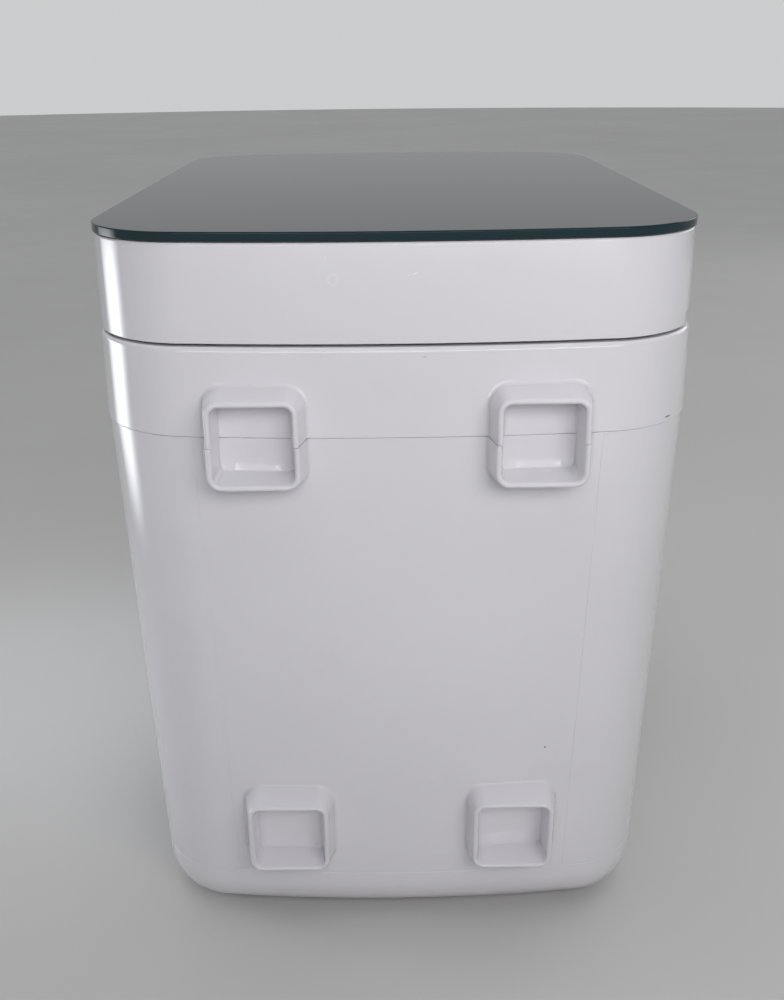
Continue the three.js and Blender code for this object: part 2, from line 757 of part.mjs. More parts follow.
function buttonSolid() {
  const { radius, proud } = BUTTON;
  return turned([
    [0, -10.5],
    [2, -10.5],
    [2, -4.4],
    [radius + 1.6, -4.4],
    [radius + 1.6, -3.2],
    [radius, -3.2],
    [radius, proud - 0.5],
    [radius - 0.6, proud],
    [0, proud],
  ]);
}

function powerInletSolid() {
  const { width, height } = INLET;
  const body = join(
    plate(width + 8, height + 8, 4, GAP, 2),
    plate(width, height, 3, -24, 1),
  );
  const pins = [-12, 0, 12].map((x, i) => {
    const y = i === 1 ? 3 : -1.5;
    return block(x - 1, y - 2.5, -23, x + 1, y + 2.5, -7);
  });
  return join(cut(body, plate(width - 8, height - 7, 2, -21.5, 5)), ...pins);
}

function grommetSolid() {
  const neck = OUTLET.hole - GAP;
  return turned([
    [OUTLET.bore, -(WALL + 3)],
    [neck + 1.6, -(WALL + 2)],
    [neck + 1.6, -(WALL + GAP)],
    [neck, -(WALL + GAP)],
    [neck, GAP],
    [neck + 2.6, GAP],
    [neck + 2.2, 2.2],
    [OUTLET.bore + 0.8, 2.2],
    [OUTLET.bore, 1.4],
  ]);
}

function humiditySensorSolid() {
  const y = GLASS_LENGTH / 2 - tubInset(200) - WALL - 1.2;
  return plate(18, 26, 3, -6, 0, new THREE.Matrix4().makeRotationX(Math.PI / 2)
    .setPosition(0, y - 6, 200));
}

// ---------------------------------------------------------------- assembly

const assembly = new THREE.Group();

function add(name, solid, material, matrix) {
  const mesh = new THREE.Mesh(toGeometry(solid), material.clone());
  mesh.name = name;
  if (matrix) matrix.decompose(mesh.position, mesh.quaternion, mesh.scale);
  assembly.add(mesh);
}

add('glass_top', glassSolid(), FINISH.glass);
add('lid_frame', lidFrameSolid(), FINISH.white);
add('lid_liner', lidLinerSolid(), FINISH.liner);
add('lid_gasket', gasketSolid(), FINISH.silicone);
add('collar', collarSolid(), FINISH.white);
add('tub', tubSolid(), FINISH.white);
add('base_plate', basePlateSolid(), FINISH.liner);
add('chamber_floor', chamberFloorSolid(), FINISH.tray);

const pinLength = MIDDLE_KNUCKLE + 2 * (OUTER_KNUCKLE + KNUCKLE_GAP);
hingeYs.forEach((y, i) => {
  add(`hinge_pin_${i + 1}`, rod(0, 0, 0, PIN_RADIUS, pinLength, 12), FINISH.steel,
    at(HINGE_X, y, LID_Z));
});

const flipped = (x, y, z) => new THREE.Matrix4().makeRotationX(Math.PI).setPosition(x, y, z);
cornerBosses.forEach(([x, y], i) => {
  add(`collar_screw_${i + 1}`, screwSolid(SCREW_LENGTH.collar), FINISH.screw,
    flipped(x, y, EAR.bottom - GAP));
});
mirrored(BASE_SCREW).forEach(([x, y], i) => {
  add(`base_screw_${i + 1}`, screwSolid(SCREW_LENGTH.base), FINISH.screw,
    flipped(x, y, BASE_PLATE_BOTTOM - GAP));
});
mirrored(FLOOR_POST).forEach(([x, y], i) => {
  add(`floor_screw_${i + 1}`, screwSolid(SCREW_LENGTH.floor), FINISH.screw,
    at(x, y, FLOOR_Z + FLOOR_THICKNESS + GAP));
});
mirrored(FOOT).forEach(([x, y], i) => {
  add(`foot_${i + 1}`, footSolid(), FINISH.rubber, at(x, y, 0));
});

const alongY = (x, y, z) => new THREE.Matrix4().makeRotationX(-Math.PI / 2).setPosition(x, y, z);
[-1, 1].forEach((side, row) => {
  const axle = row ? 'axle_front' : 'axle_rear';
  add(axle, rod(0, 0, 0, AXLE_RADIUS, AXLE_LENGTH), FINISH.steel, at(side * AXLE_X, 0, AXLE_Z));
  stationYs.forEach((y, i) => {
    const roller = row ? `roller_front_${i + 1}` : `roller_rear_${i + 1}`;
    add(roller, rollerSolid(), FINISH.roller, alongY(side * AXLE_X, y, AXLE_Z));
  });
});

add('desiccant_tray', desiccantTraySolid(), FINISH.tray);
add('desiccant_lid', desiccantLidSolid(), FINISH.liner);
add('fan_housing', fanHousingSolid(), FINISH.black);
add('fan_rotor', fanRotorSolid(), FINISH.black);
add('heater_duct', heaterDuctSolid(), FINISH.steel);
add('heater_core', heaterCoreSolid(), FINISH.heater);
add('power_board', powerBoardSolid(), FINISH.board);
add('control_board', controlBoardSolid(), FINISH.board);
add('humidity_sensor', humiditySensorSolid(), FINISH.black);

const windowFrame = wallFrame(1, 0, WINDOW.z);
add('display_module', displayModuleSolid(), FINISH.black, windowFrame);
add('display_window', displayWindowSolid(), FINISH.glass, windowFrame);
['button_down', 'button_power', 'button_up'].forEach((name, i) => {
  add(name, buttonSolid(), FINISH.button, wallFrame(1, buttonYs[i], BUTTON.z));
});
add('power_inlet', powerInletSolid(), FINISH.black, wallFrame(-1, INLET.y, INLET.z));
stationYs.forEach((y, i) => {
  add(`outlet_grommet_${i + 1}`, grommetSolid(), FINISH.rubber, wallFrame(-1, y, OUTLET.z));
});

// The loops and the hinge stick out on one side only, so the box's middle is off the glass's.
const endFace = GLASS_LENGTH / 2 - COLLAR_BOTTOM_INSET;
const loopFace = endWallY(UPPER_LOOP.x, UPPER_LOOP.z) + UPPER_LOOP.reach;
const sideFace = GLASS_WIDTH / 2 - COLLAR_BOTTOM_INSET;
const hingeFace = -HINGE_X + HINGE_RADIUS;
assembly.position.set((hingeFace - sideFace) / 2, (loopFace - endFace) / 2, 0);

const dryerBox = new THREE.Group();
dryerBox.add(assembly);
dryerBox.updateMatrixWorld(true);

export default dryerBox;
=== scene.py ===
"""Looks of the filament dryer box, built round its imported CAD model.

Shapes are written in millimetres about the middle of the glass, with +Z up, and `piece`
turns them into metres in the shared frame. The user's side is +X, the lid is hinged along
the -X side and the stand-off loops are on the -Y end.
"""

import math

import bmesh
import bpy
from mathutils import Matrix, Vector


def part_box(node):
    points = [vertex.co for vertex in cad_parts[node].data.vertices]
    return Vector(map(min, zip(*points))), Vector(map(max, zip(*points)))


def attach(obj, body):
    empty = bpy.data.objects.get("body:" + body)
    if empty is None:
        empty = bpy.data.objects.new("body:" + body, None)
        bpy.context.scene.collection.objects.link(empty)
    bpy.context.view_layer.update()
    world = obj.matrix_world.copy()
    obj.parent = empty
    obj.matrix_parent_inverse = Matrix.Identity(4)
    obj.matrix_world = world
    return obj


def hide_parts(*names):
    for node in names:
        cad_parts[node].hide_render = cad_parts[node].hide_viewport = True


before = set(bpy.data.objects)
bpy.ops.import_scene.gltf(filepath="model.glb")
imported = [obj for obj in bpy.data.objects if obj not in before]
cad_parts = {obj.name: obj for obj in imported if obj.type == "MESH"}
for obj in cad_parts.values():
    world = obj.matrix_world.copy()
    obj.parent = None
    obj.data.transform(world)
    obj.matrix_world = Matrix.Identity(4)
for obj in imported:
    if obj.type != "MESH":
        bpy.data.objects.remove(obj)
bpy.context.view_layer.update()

# --- driving dimensions

MM = 0.001
glass_low, glass_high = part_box("glass_top")
CENTRE = Vector(((glass_low.x + glass_high.x) / 2, (glass_low.y + glass_high.y) / 2, 0))
GLASS_WIDTH = (glass_high.x - glass_low.x) / MM
GLASS_LENGTH = (glass_high.y - glass_low.y) / MM
TOP_Z = glass_high.z / MM
GLASS_THICKNESS = (glass_high.z - glass_low.z) / MM

GAP = 0.3
WALL = 2.5
END_CROWN = 10.4
CORNER_RADIUS = 40
TUB_BOTTOM = 1.5
SEAM_Z = 262
LID_Z = 301.3
LID_GAP = 1.2
DRAFT = math.radians(2)
BOTTOM_RADIUS = 24
ROUND_Z = TUB_BOTTOM + BOTTOM_RADIUS

TUB_TOP_INSET = -0.3
COLLAR_BOTTOM_INSET = -0.9
COLLAR_TOP_INSET = -0.45
LID_BOTTOM_INSET = 0.3
LID_TOP_INSET = 0.6
SHELF_INSET = 10
GRIP_DEPTH = 2.3
GRIP_HEIGHT = 6
GRIP_FADE = (124, 128.8)

LOOP_SIZE = 38.4
LOOP_CORNER = 6
LOOP_WALL = 2.5
LOOP_FLARE = 2.3
LOOP_NARROWING = 1.4
LOOP_FILLET = 1.7
LOOP_INNER_FILLET = 0.8
LOOP_ROOT = 1.2
UPPER_LOOP = {"x": 59.7, "z": 262.7, "reach": 14.2, "tilt": 0}
LOWER_LOOP = {"x": 53.8, "z": 61.3, "reach": 13, "tilt": DRAFT}
LOOP_STEP = 0.35
WITNESS_Z = 30.4
WITNESS_TOP_X = 87
WITNESS_BOTTOM_X = 81
WITNESS_WIDTH = 0.34
WITNESS_DEPTH = 0.14

HINGE_X = -134.4
HINGE_RADIUS = 4.2
HINGE_Y = 80
PIN_RADIUS = 1.5
HOLE_RADIUS = PIN_RADIUS + GAP
OUTER_KNUCKLE = 10
MIDDLE_KNUCKLE = 21
KNUCKLE_GAP = 0.5

FLOOR_Z = 100
FLOOR_TOP = 102.5
STATION_PITCH = 80
AXLE_X = 55
AXLE_Z = 124
AXLE_RADIUS = 3
AXLE_LENGTH = 332
ROLLER_RADIUS = 9
ROLLER_LENGTH = 70
GROOVE_ZS = (-27, -9, 9, 27)

BASE_RECESS = (184, 294)
BASE_OPENING = (160, 270)
BASE_PLATE_BOTTOM = 3
LEDGE_TOP = 8
BAY_Z = 14
BASE_SCREW = (86, 40)
FOOT = (70, 122)
FOOT_RADIUS = 11
FOOT_STEM = 3
FLOOR_POST = (90, 145)
SCREW_LENGTH = {"collar": 18, "base": 10, "floor": 13}
SCREW_HEAD = {"radius": 2.8, "height": 1.8}
THREAD_PITCH = 0.5
EAR = {"bottom": 254, "radius": 6, "room": 6.5}
COLLAR_BOSS = {"top": 284, "radius": 5.8}
TONGUE_BOTTOM = 250

WINDOW_Z = 66
WINDOW_SIZE = (92, 34)
BUTTON_Z = 38
BUTTON_SPACING = 24
BUTTON_RADIUS = 5.6
INLET_Y = -80
INLET_Z = 45
INLET_SIZE = (46, 25)
OUTLET_Z = 240
OUTLET_HOLE = 6
OUTLET_BORE = 2.2
FAN = {"x": 10, "y": 95, "width": 90, "depth": 84, "height": 32, "cavity": 38, "mouth": 26}
ROTOR = {"disc": 34, "hub": 13, "vanes": 14, "vane_radius": 28, "vane_lean": 0.6}
DUCT = {"x": (55.6, 108), "y": (60, 130)}
HEATER_Z = (50.3, 76.3)
POWER_BOARD = (0, -80)

STATION_YS = [step * STATION_PITCH for step in (-1.5, -0.5, 0.5, 1.5)]
BUTTON_YS = [-BUTTON_SPACING, 0, BUTTON_SPACING]
HINGE_YS = [-HINGE_Y, HINGE_Y]


def mirrored(x, y):
    return [(x, y), (x, -y), (-x, y), (-x, -y)]


# --- mesh tools


def smoothstep(value, low, high):
    t = min(1, max(0, (value - low) / (high - low)))
    return t * t * (3 - 2 * t)


def arc(centre, radius, start, stop, steps):
    """Points of an arc as (across, up), angles in degrees."""
    angles = [math.radians(start + (stop - start) * i / steps) for i in range(steps + 1)]
    return [(centre[0] + radius * math.cos(a), centre[1] + radius * math.sin(a)) for a in angles]


def skin(rings, looped=False):
    """Quads between equal rings. An open stack is capped; a looped one closes on itself."""
    mesh = bmesh.new()
    rows = [[mesh.verts.new(point) for point in ring] for ring in rings]
    pairs = list(zip(rows, rows[1:]))
    if looped:
        pairs.append((rows[-1], rows[0]))
    count = len(rows[0])
    for low, high in pairs:
        for i in range(count):
            j = (i + 1) % count
            mesh.faces.new((low[i], low[j], high[j], high[i]))
    if not looped:
        mesh.faces.new(list(reversed(rows[0])))
        mesh.faces.new(rows[-1])
    return mesh


def placed(mesh, matrix):
    bmesh.ops.transform(mesh, matrix=matrix, verts=mesh.verts)
    return mesh


def painted(mesh, index):
    for face in mesh.faces:
        face.material_index = index
    return mesh


def at(x, y, z):
    return Matrix.Translation((x, y, z))


def turned(profile, sides=48, matrix=None):
    """A solid turned about Z from (radius, z) points that end on the axis or close."""
    mesh = bmesh.new()
    turns = [2 * math.pi * i / sides for i in range(sides)]
    rows = []
    for radius, z in profile:
        if radius < 1e-6:
            rows.append([mesh.verts.new((0, 0, z))] * sides)
        else:
            ring = [(radius * math.cos(a), radius * math.sin(a), z) for a in turns]
            rows.append([mesh.verts.new(point) for point in ring])
    pairs = list(zip(rows, rows[1:]))
    if profile[0][0] > 0:
        pairs.append((rows[-1], rows[0]))
    for low, high in pairs:
        for i in range(sides):
            j = (i + 1) % sides
            corners = list(dict.fromkeys((low[i], low[j], high[j], high[i])))
            if len(corners) > 2:
                mesh.faces.new(corners)
    bmesh.ops.recalc_face_normals(mesh, faces=mesh.faces)
    return placed(mesh, matrix) if matrix else mesh


def rounded_ring(width, height, radius, z, steps=7):
    x, y = width / 2 - radius, height / 2 - radius
    ring = []
    for k, (sx, sy) in enumerate(((1, 1), (-1, 1), (-1, -1), (1, -1))):
        points = arc((sx * x, sy * y), radius, 90 * k, 90 * k + 90, steps)
        ring += [(px, py, z) for px, py in points]
    return ring


def plate(width, height, radius, levels, matrix=None):
    """A rounded rectangle grown by `grow` at each z of the levels [(grow, z), ...]."""
    mesh = skin([rounded_ring(width + 2 * g, height + 2 * g, radius + g, z) for g, z in levels])
    return placed(mesh, matrix) if matrix else mesh


def softened(z0, z1, edge):
    """Levels of a plate with rounded rims."""
    low = [(x - edge, z0 + edge + y) for x, y in arc((0, 0), edge, 270, 360, 3)]
    high = [(x - edge, z1 - edge + y) for x, y in arc((0, 0), edge, 0, 90, 3)]
    return low + high


def block(x0, y0, z0, x1, y1, z1, matrix=None, edge=0):
    mesh = bmesh.new()
    size = Matrix.Diagonal((x1 - x0, y1 - y0, z1 - z0, 1))
    middle = at((x0 + x1) / 2, (y0 + y1) / 2, (z0 + z1) / 2)
    bmesh.ops.create_cube(mesh, size=1, matrix=middle @ size)
    if edge:
        bmesh.ops.bevel(mesh, geom=mesh.edges, offset=edge, segments=2, profile=0.5, affect="EDGES")
    return placed(mesh, matrix) if matrix else mesh


def post(x, y, z0, z1, radius, sides=32, matrix=None):
    mesh = turned([(0, z0), (radius, z0), (radius, z1), (0, z1)], sides, at(x, y, 0))
    return placed(mesh, matrix) if matrix else mesh


def posts(places, z0, z1, radius):
    return [post(x, y, z0, z1, radius) for x, y in places]


def lying(x, y, z):
    """Lays what was turned about Z along Y."""
    return at(x, y, z) @ Matrix.Rotation(math.pi / 2, 4, "X")


def rod(x, y, z, radius, length, sides=40):
    return turned([(0, -length / 2), (radius, -length / 2), (radius, length / 2), (0, length / 2)],
                  sides, lying(x, y, z))


def baked(name, mesh):
    """Writes a mesh out as data that an object can hold."""
    data = bpy.data.meshes.new(name)
    mesh.to_mesh(data)
    mesh.free()
    return data


def linked(name, data):
    """A new object in the scene."""
    made = bpy.data.objects.new(name, data)
    bpy.context.scene.collection.objects.link(made)
    return made


def gathered(*meshes):
    """One mesh that holds the given ones as they are."""
    whole = bmesh.new()
    for mesh in meshes:
        data = baked("part", mesh)
        whole.from_mesh(data)
        bpy.data.meshes.remove(data)
    return whole


def combined(base, tool, operation):
    """The two meshes joined ("UNION") or the second cut from the first ("DIFFERENCE")."""
    objects = [linked("solid", baked("solid", mesh)) for mesh in (base, tool)]
    modifier = objects[0].modifiers.new("cut", "BOOLEAN")
    modifier.operation = operation
    modifier.object = objects[1]
    modifier.solver = "EXACT"
    modifier.use_self = operation == "UNION"
    graph = bpy.context.evaluated_depsgraph_get()
    data = bpy.data.meshes.new_from_object(objects[0].evaluated_get(graph))
    result = bmesh.new()
    result.from_mesh(data)
    for each in objects:
        bpy.data.objects.remove(each)
    bmesh.ops.remove_doubles(result, verts=result.verts, dist=1e-4)
    bmesh.ops.dissolve_degenerate(result, edges=result.edges, dist=1e-4)
    return result


def add_piece(name, data, materials, body, slot, *nodes, sharp=35):
    """Makes the mesh a piece that rides on its body and stands for the CAD nodes."""
    data.shade_smooth()
    data.set_sharp_from_angle(angle=math.radians(sharp))
    for material in materials if isinstance(materials, (list, tuple)) else [materials]:
        data.materials.append(material)
    made = linked(name, data)
    normals = made.modifiers.new("normals", "WEIGHTED_NORMAL")
    normals.keep_sharp = True
    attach(made, body)
    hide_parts(*nodes)
    return made


def piece(name, mesh, materials, body, slot, *nodes, sharp=35):
    """A piece from a mesh in millimetres about the middle of the glass."""
    placed(mesh, Matrix.Translation(CENTRE) @ Matrix.Scale(MM, 4))
    return add_piece(name, baked(name, mesh), materials, body, slot, *nodes, sharp=sharp)


def refined(name, node, materials, body, slot, edge, segments=2):
    """A copy of a CAD node with its flat faces whole and its edges rounded by `edge`."""
    mesh = bmesh.new()
    mesh.from_mesh(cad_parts[node].data)
    bmesh.ops.remove_doubles(mesh, verts=mesh.verts, dist=2e-6)
    bmesh.ops.dissolve_limit(mesh, angle_limit=math.radians(1), verts=mesh.verts, edges=mesh.edges)
    sharp = [e for e in mesh.edges if e.is_manifold and e.calc_face_angle() > math.radians(50)]
    bmesh.ops.bevel(mesh, geom=sharp, offset=edge * MM, segments=segments, profile=0.5,
                    affect="EDGES", clamp_overlap=True)
    return add_piece(name, baked(name, mesh), materials, body, slot, node)


# --- the plan outline

CORNER_STEPS = 22
END_STEPS = 44
CORNER_BOSS_RADIUS = 33


def crown_at(x):
    return END_CROWN * max(0, 1 - (2 * x / GLASS_WIDTH) ** 2)


def outline(inset, z, grip=0):
    """The box's outline moved inwards; the grip is an extra inset on the user's long side."""
    radius = max(CORNER_RADIUS - inset, 2)
    x = GLASS_WIDTH / 2 - inset - radius
    y = GLASS_LENGTH / 2 - END_CROWN - inset - radius
    ends = [x * (1 - 2 * i / END_STEPS) for i in range(1, END_STEPS)]
    points = arc((x, -y), radius, -90, 0, CORNER_STEPS)
    points += arc((x, y), radius, 0, 90, CORNER_STEPS)
    points += [(px, y + radius) for px in ends]
    points += arc((-x, y), radius, 90, 180, CORNER_STEPS)
    points += arc((-x, -y), radius, 180, 270, CORNER_STEPS)
    points += [(-px, -y - radius) for px in ends]
    return [(px - grip * smoothstep(px, *GRIP_FADE), py + math.copysign(crown_at(px), py), z)
            for px, py in points]


def stack(profile):
    return skin([outline(*step) for step in profile])


def band(profile):
    return skin([outline(*step) for step in profile], looped=True)


def tub_inset(z):
    return TUB_TOP_INSET + math.tan(DRAFT) * (SEAM_Z - z)


def collar_inset(z):
    share = (z - SEAM_Z) / (LID_Z - SEAM_Z)
    return COLLAR_BOTTOM_INSET + (COLLAR_TOP_INSET - COLLAR_BOTTOM_INSET) * share


def end_wall(x, inset):
    return GLASS_LENGTH / 2 - END_CROWN - inset + crown_at(x)


def end_point(x, z):
    """The point of the -Y end's outer face at x and z, on its rounded corners too."""
    inset = tub_inset(z) if z < SEAM_Z else collar_inset(min(z, LID_Z))
    radius = CORNER_RADIUS - inset
    past = max(0, abs(x) - GLASS_WIDTH / 2 + CORNER_RADIUS)
    straight = end_wall(x, inset) - radius
    return (x, -straight - math.sqrt(radius ** 2 - past ** 2), z)


def wall_frame(side, y, z):
    """A frame on a long wall's outer face: X along the wall, Y up it and Z straight out."""
    out = Vector((side * math.cos(DRAFT), 0, -math.sin(DRAFT)))
    up = Vector((side * math.sin(DRAFT), 0, math.cos(DRAFT)))
    turn = Matrix(((0, side, 0), up, out)).transposed().to_4x4()
    return at(side * (GLASS_WIDTH / 2 - tub_inset(z)), y, z) @ turn


def corner_bosses():
    reach = CORNER_BOSS_RADIUS * math.sqrt(0.5)
    x = GLASS_WIDTH / 2 - CORNER_RADIUS + reach
    y = GLASS_LENGTH / 2 - END_CROWN - CORNER_RADIUS + reach + crown_at(x)
    return mirrored(x, y)


# --- material tools


class Tree:
    """Adds nodes to a tree. An input takes a plain value or another node's output."""

    def __init__(self, tree):
        self.tree = tree

    def fill(self, socket, value):
        if isinstance(value, bpy.types.NodeSocket):
            self.tree.links.new(value, socket)
        elif socket.type == "RGBA" and len(value) == 3:
            socket.default_value = (*value, 1)
        else:
            socket.default_value = value

    def add(self, kind, inputs=None, **attributes):
        node = self.tree.nodes.new(kind)
        for attribute, value in attributes.items():
            setattr(node, attribute, value)
        for socket, value in (inputs or {}).items():
            self.fill(node.inputs[socket], value)
        return node

    def ramp(self, value, low, high, to_low=0.0, to_high=1.0):
        values = {"Value": value, "From Min": low, "From Max": high,
                  "To Min": to_low, "To Max": to_high}
        return self.add("ShaderNodeMapRange", values, clamp=True).outputs[0]

    def maths(self, operation, a, b=0.0):
        return self.add("ShaderNodeMath", {0: a, 1: b}, operation=operation).outputs[0]


class Finish(Tree):
    """A Principled material whose patterns sit in the piece's own coordinates."""

    def __init__(self, name, **settings):
        self.material = bpy.data.materials.new(name)
        self.material.use_nodes = True
        super().__init__(self.material.node_tree)
        self.shader = self.tree.nodes["Principled BSDF"]
        self.place = self.add("ShaderNodeTexCoord").outputs["Object"]
        for socket, value in settings.items():
            self.set(socket.replace("_", " "), value)

    def set(self, socket, value):
        self.fill(self.shader.inputs[socket], value)

    def noise(self, scale, detail=2.0, stretch=None, roughness=0.5):
        place = self.place
        if stretch:
            place = self.add("ShaderNodeMapping", {"Vector": place, "Scale": stretch}).outputs[0]
        values = {"Vector": place, "Scale": scale, "Detail": detail, "Roughness": roughness}
        return self.add("ShaderNodeTexNoise", values).outputs["Fac"]

    def mix(self, factor, a, b):
        node = self.add("ShaderNodeMix", data_type="RGBA")
        for index, value in ((0, factor), (6, a), (7, b)):
            self.fill(node.inputs[index], value)
        return node.outputs[2]

    def bump(self, height, distance, below=None):
        values = {"Height": height, "Strength": 1.0, "Distance": distance}
        if below is not None:
            values["Normal"] = below
        return self.add("ShaderNodeBump", values).outputs[0]

    def away_from(self, point):
        """Distance in metres from a point given in millimetres about the middle of the glass."""
        values = {0: self.place, 1: tuple(CENTRE + Vector(point) * MM)}
        return self.add("ShaderNodeVectorMath", values, operation="DISTANCE").outputs["Value"]

    def stroke(self, point, half_length, half_width, tilt):
        """1 inside a short stroke on the end wall, 0 outside; the tilt lifts its +X end."""
        size = (half_length * MM, MARK_DEPTH * MM, half_width * MM)
        values = {"Vector": self.place, "Location": tuple(CENTRE + Vector(point) * MM),
                  "Rotation": (0, -math.radians(tilt), 0), "Scale": size}
        local = self.add("ShaderNodeMapping", values, vector_type="TEXTURE").outputs[0]
        far = self.add("ShaderNodeVectorMath", {0: local}, operation="LENGTH").outputs["Value"]
        return self.ramp(far, 0.6, 1, 1, 0)


def shaded(colour, factor):
    return tuple(channel * factor for channel in colour)


def moulded(name, colour, roughness, grain, depth, spread=0.06, **settings):
    """Injection-moulded plastic: fine grain, slight colour drift and handled patches."""
    finish = Finish(name, **settings)
    drift = finish.noise(14, 3)
    tone = finish.mix(finish.ramp(drift, 0.3, 0.7), shaded(colour, 0.94), shaded(colour, 1.04))
    rubbed = finish.noise(55, 4, roughness=0.6)
    finish.set("Base Color", finish.mix(finish.ramp(rubbed, 0.5, 0.75, 0, 0.12), tone,
                                        shaded(colour, 0.8)))
    finish.set("Roughness", finish.ramp(rubbed, 0.35, 0.75, roughness - spread, roughness + spread))
    finish.set("Normal", finish.bump(finish.noise(grain, 2), depth))
    return finish.material


def white_shell():
    """Glossy white housing plastic with faint flow marks, scuffs, specks and smears."""
    colour = (0.80, 0.79, 0.835)
    finish = Finish("glossy_white_plastic", Coat_Weight=0.8, Coat_Roughness=0.07, IOR=1.5)
    drift = finish.ramp(finish.noise(9, 3), 0.3, 0.7)
    tone = finish.mix(drift, shaded(colour, 0.972), shaded(colour, 1.012))
    grime = finish.ramp(finish.noise(38, 6, roughness=0.65), 0.55, 0.8, 0, 0.09)
    tone = finish.mix(grime, tone, (0.55, 0.53, 0.53))
    for (x, z), half_length, half_width, tilt, strength, mark_colour in MARKS:
        inside = finish.stroke(end_point(x, z), half_length, half_width, tilt)
        tone = finish.mix(finish.maths("MULTIPLY", inside, strength), tone, mark_colour)
    finish.set("Base Color", tone)
    smudge = finish.ramp(finish.noise(24, 5, roughness=0.6), 0.48, 0.72, 0, 0.09)
    off_ring = finish.maths("SUBTRACT", finish.away_from(RING_MARK), RING_RADIUS * MM)
    halo = finish.ramp(finish.maths("ABSOLUTE", off_ring), 0.15 * MM, 0.6 * MM, 0.2, 0)
    streaks = finish.noise(30, 2, stretch=(1.4, 1.4, 26))
    scratch = finish.ramp(streaks, 0.735, 0.75, 0, 0.2)
    patch = finish.ramp(finish.noise(17, 2), 0.5, 0.62)
    scratched = finish.maths("MULTIPLY", scratch, patch)
    total = finish.maths("ADD", finish.maths("ADD", smudge, halo), scratched)
    finish.set("Roughness", finish.maths("ADD", total, 0.13))
    waves = finish.bump(finish.noise(140, 1), 0.00002)
    peel = finish.bump(finish.noise(620, 1), 0.000004, waves)
    finish.set("Normal", finish.bump(scratched, 0.00003, peel))
    return finish.material


def smoked_glass():
    """Dark polished glass with teal ground edges, faint dust and wiping marks."""
    finish = Finish("smoked_tempered_glass", IOR=1.45)
    normal = finish.add("ShaderNodeTexCoord").outputs["Normal"]
    up = finish.add("ShaderNodeSeparateXYZ", {0: normal}).outputs[2]
    edge = finish.ramp(finish.maths("ABSOLUTE", up), 0.75, 0.95, 1, 0)
    finish.set("Base Color", finish.mix(edge, (0.010, 0.012, 0.012), (0.012, 0.032, 0.040)))
    wiped = finish.noise(26, 5, stretch=(1, 2.6, 1), roughness=0.6)
    finish.set("Roughness", finish.ramp(wiped, 0.45, 0.8, 0.025, 0.08))
    finish.set("Normal", finish.bump(finish.noise(22, 1), 0.00002))
    return finish.material


def brushed(name, colour, roughness, stretch):
    """Metal drawn along one axis."""
    finish = Finish(name, Metallic=1.0)
    lines = finish.noise(90, 4, stretch=stretch)
    finish.set("Base Color", finish.mix(finish.ramp(lines, 0.3, 0.7), shaded(colour, 0.82),
                                        shaded(colour, 1.08)))
    finish.set("Roughness", finish.ramp(lines, 0.3, 0.7, roughness - 0.08, roughness + 0.1))
    finish.set("Normal", finish.bump(lines, 0.00002))
    return finish.material


def circuit_board():
    """Green lacquer over copper tracks."""
    finish = Finish("circuit_board", Coat_Weight=0.4, Coat_Roughness=0.15)
    cells = {"Vector": finish.place, "Scale": 210.0}
    grid = finish.add("ShaderNodeTexVoronoi", cells, distance="MANHATTAN",
                      feature="DISTANCE_TO_EDGE").outputs["Distance"]
    tracks = finish.ramp(grid, 0.08, 0.12, 1, 0)
    gaps = finish.ramp(finish.noise(60, 1), 0.45, 0.5)
    tracks = finish.maths("MULTIPLY", tracks, gaps)
    finish.set("Base Color", finish.mix(tracks, (0.008, 0.085, 0.035), (0.03, 0.20, 0.07)))
    finish.set("Roughness", finish.ramp(finish.noise(120, 3), 0.3, 0.7, 0.3, 0.5))
    finish.set("Normal", finish.bump(tracks, 0.00003))
    return finish.material


DIRT = (0.12, 0.10, 0.09)
SCRATCH = (1, 1, 1)
# Strokes on the end wall: (x, z), half length, half width, tilt in degrees, strength, colour
MARKS = [((69.2, 103), 0.55, 0.55, 0, 0.9, DIRT), ((117.1, 264.4), 1.9, 0.5, 0, 0.8, DIRT),
         ((11.4, 296.6), 1.1, 0.5, 10, 0.2, DIRT), ((7.4, 330.3), 1.4, 0.28, 25, 0.8, SCRATCH),
         ((5, 329.5), 0.6, 0.25, 40, 0.5, SCRATCH), ((-28, 337), 0.7, 0.25, -30, 0.5, SCRATCH)]
MARK_DEPTH = 6
RING_MARK = (-25.2, -187.9, 328.1)
RING_RADIUS = 2.1

WHITE = white_shell()
INNER = moulded("satin_white_plastic", (0.74, 0.735, 0.76), 0.38, 900, 0.00002)
TRAY = moulded("satin_grey_plastic", (0.62, 0.63, 0.65), 0.42, 900, 0.00003)
GLASS = smoked_glass()
WINDOW = moulded("smoked_window", (0.014, 0.014, 0.017), 0.1, 60, 0.000006, spread=0.04,
                 Coat_Weight=0.6, Coat_Roughness=0.03)
SILICONE = moulded("silicone", (0.60, 0.60, 0.62), 0.55, 500, 0.00003, Sheen_Weight=0.15)
RUBBER = moulded("rubber", (0.028, 0.028, 0.030), 0.72, 1400, 0.00005, Sheen_Weight=0.1)
STEEL = brushed("drawn_steel", (0.62, 0.63, 0.65), 0.28, (1, 0.04, 1))
SCREW_STEEL = brushed("plated_steel", (0.46, 0.47, 0.49), 0.34, (1, 1, 0.2))
FOLDED_STEEL = brushed("folded_steel", (0.58, 0.59, 0.61), 0.36, (1, 1, 0.05))
ALUMINIUM = brushed("fin_aluminium", (0.70, 0.71, 0.72), 0.38, (0.1, 1, 1))
ROLLER = moulded("roller_plastic", (0.045, 0.046, 0.05), 0.46, 700, 0.00004)
BLACK = moulded("black_plastic", (0.022, 0.022, 0.024), 0.42, 800, 0.00004)
BOARD = circuit_board()
BUTTON = moulded("button_plastic", (0.64, 0.64, 0.67), 0.3, 700, 0.00001)
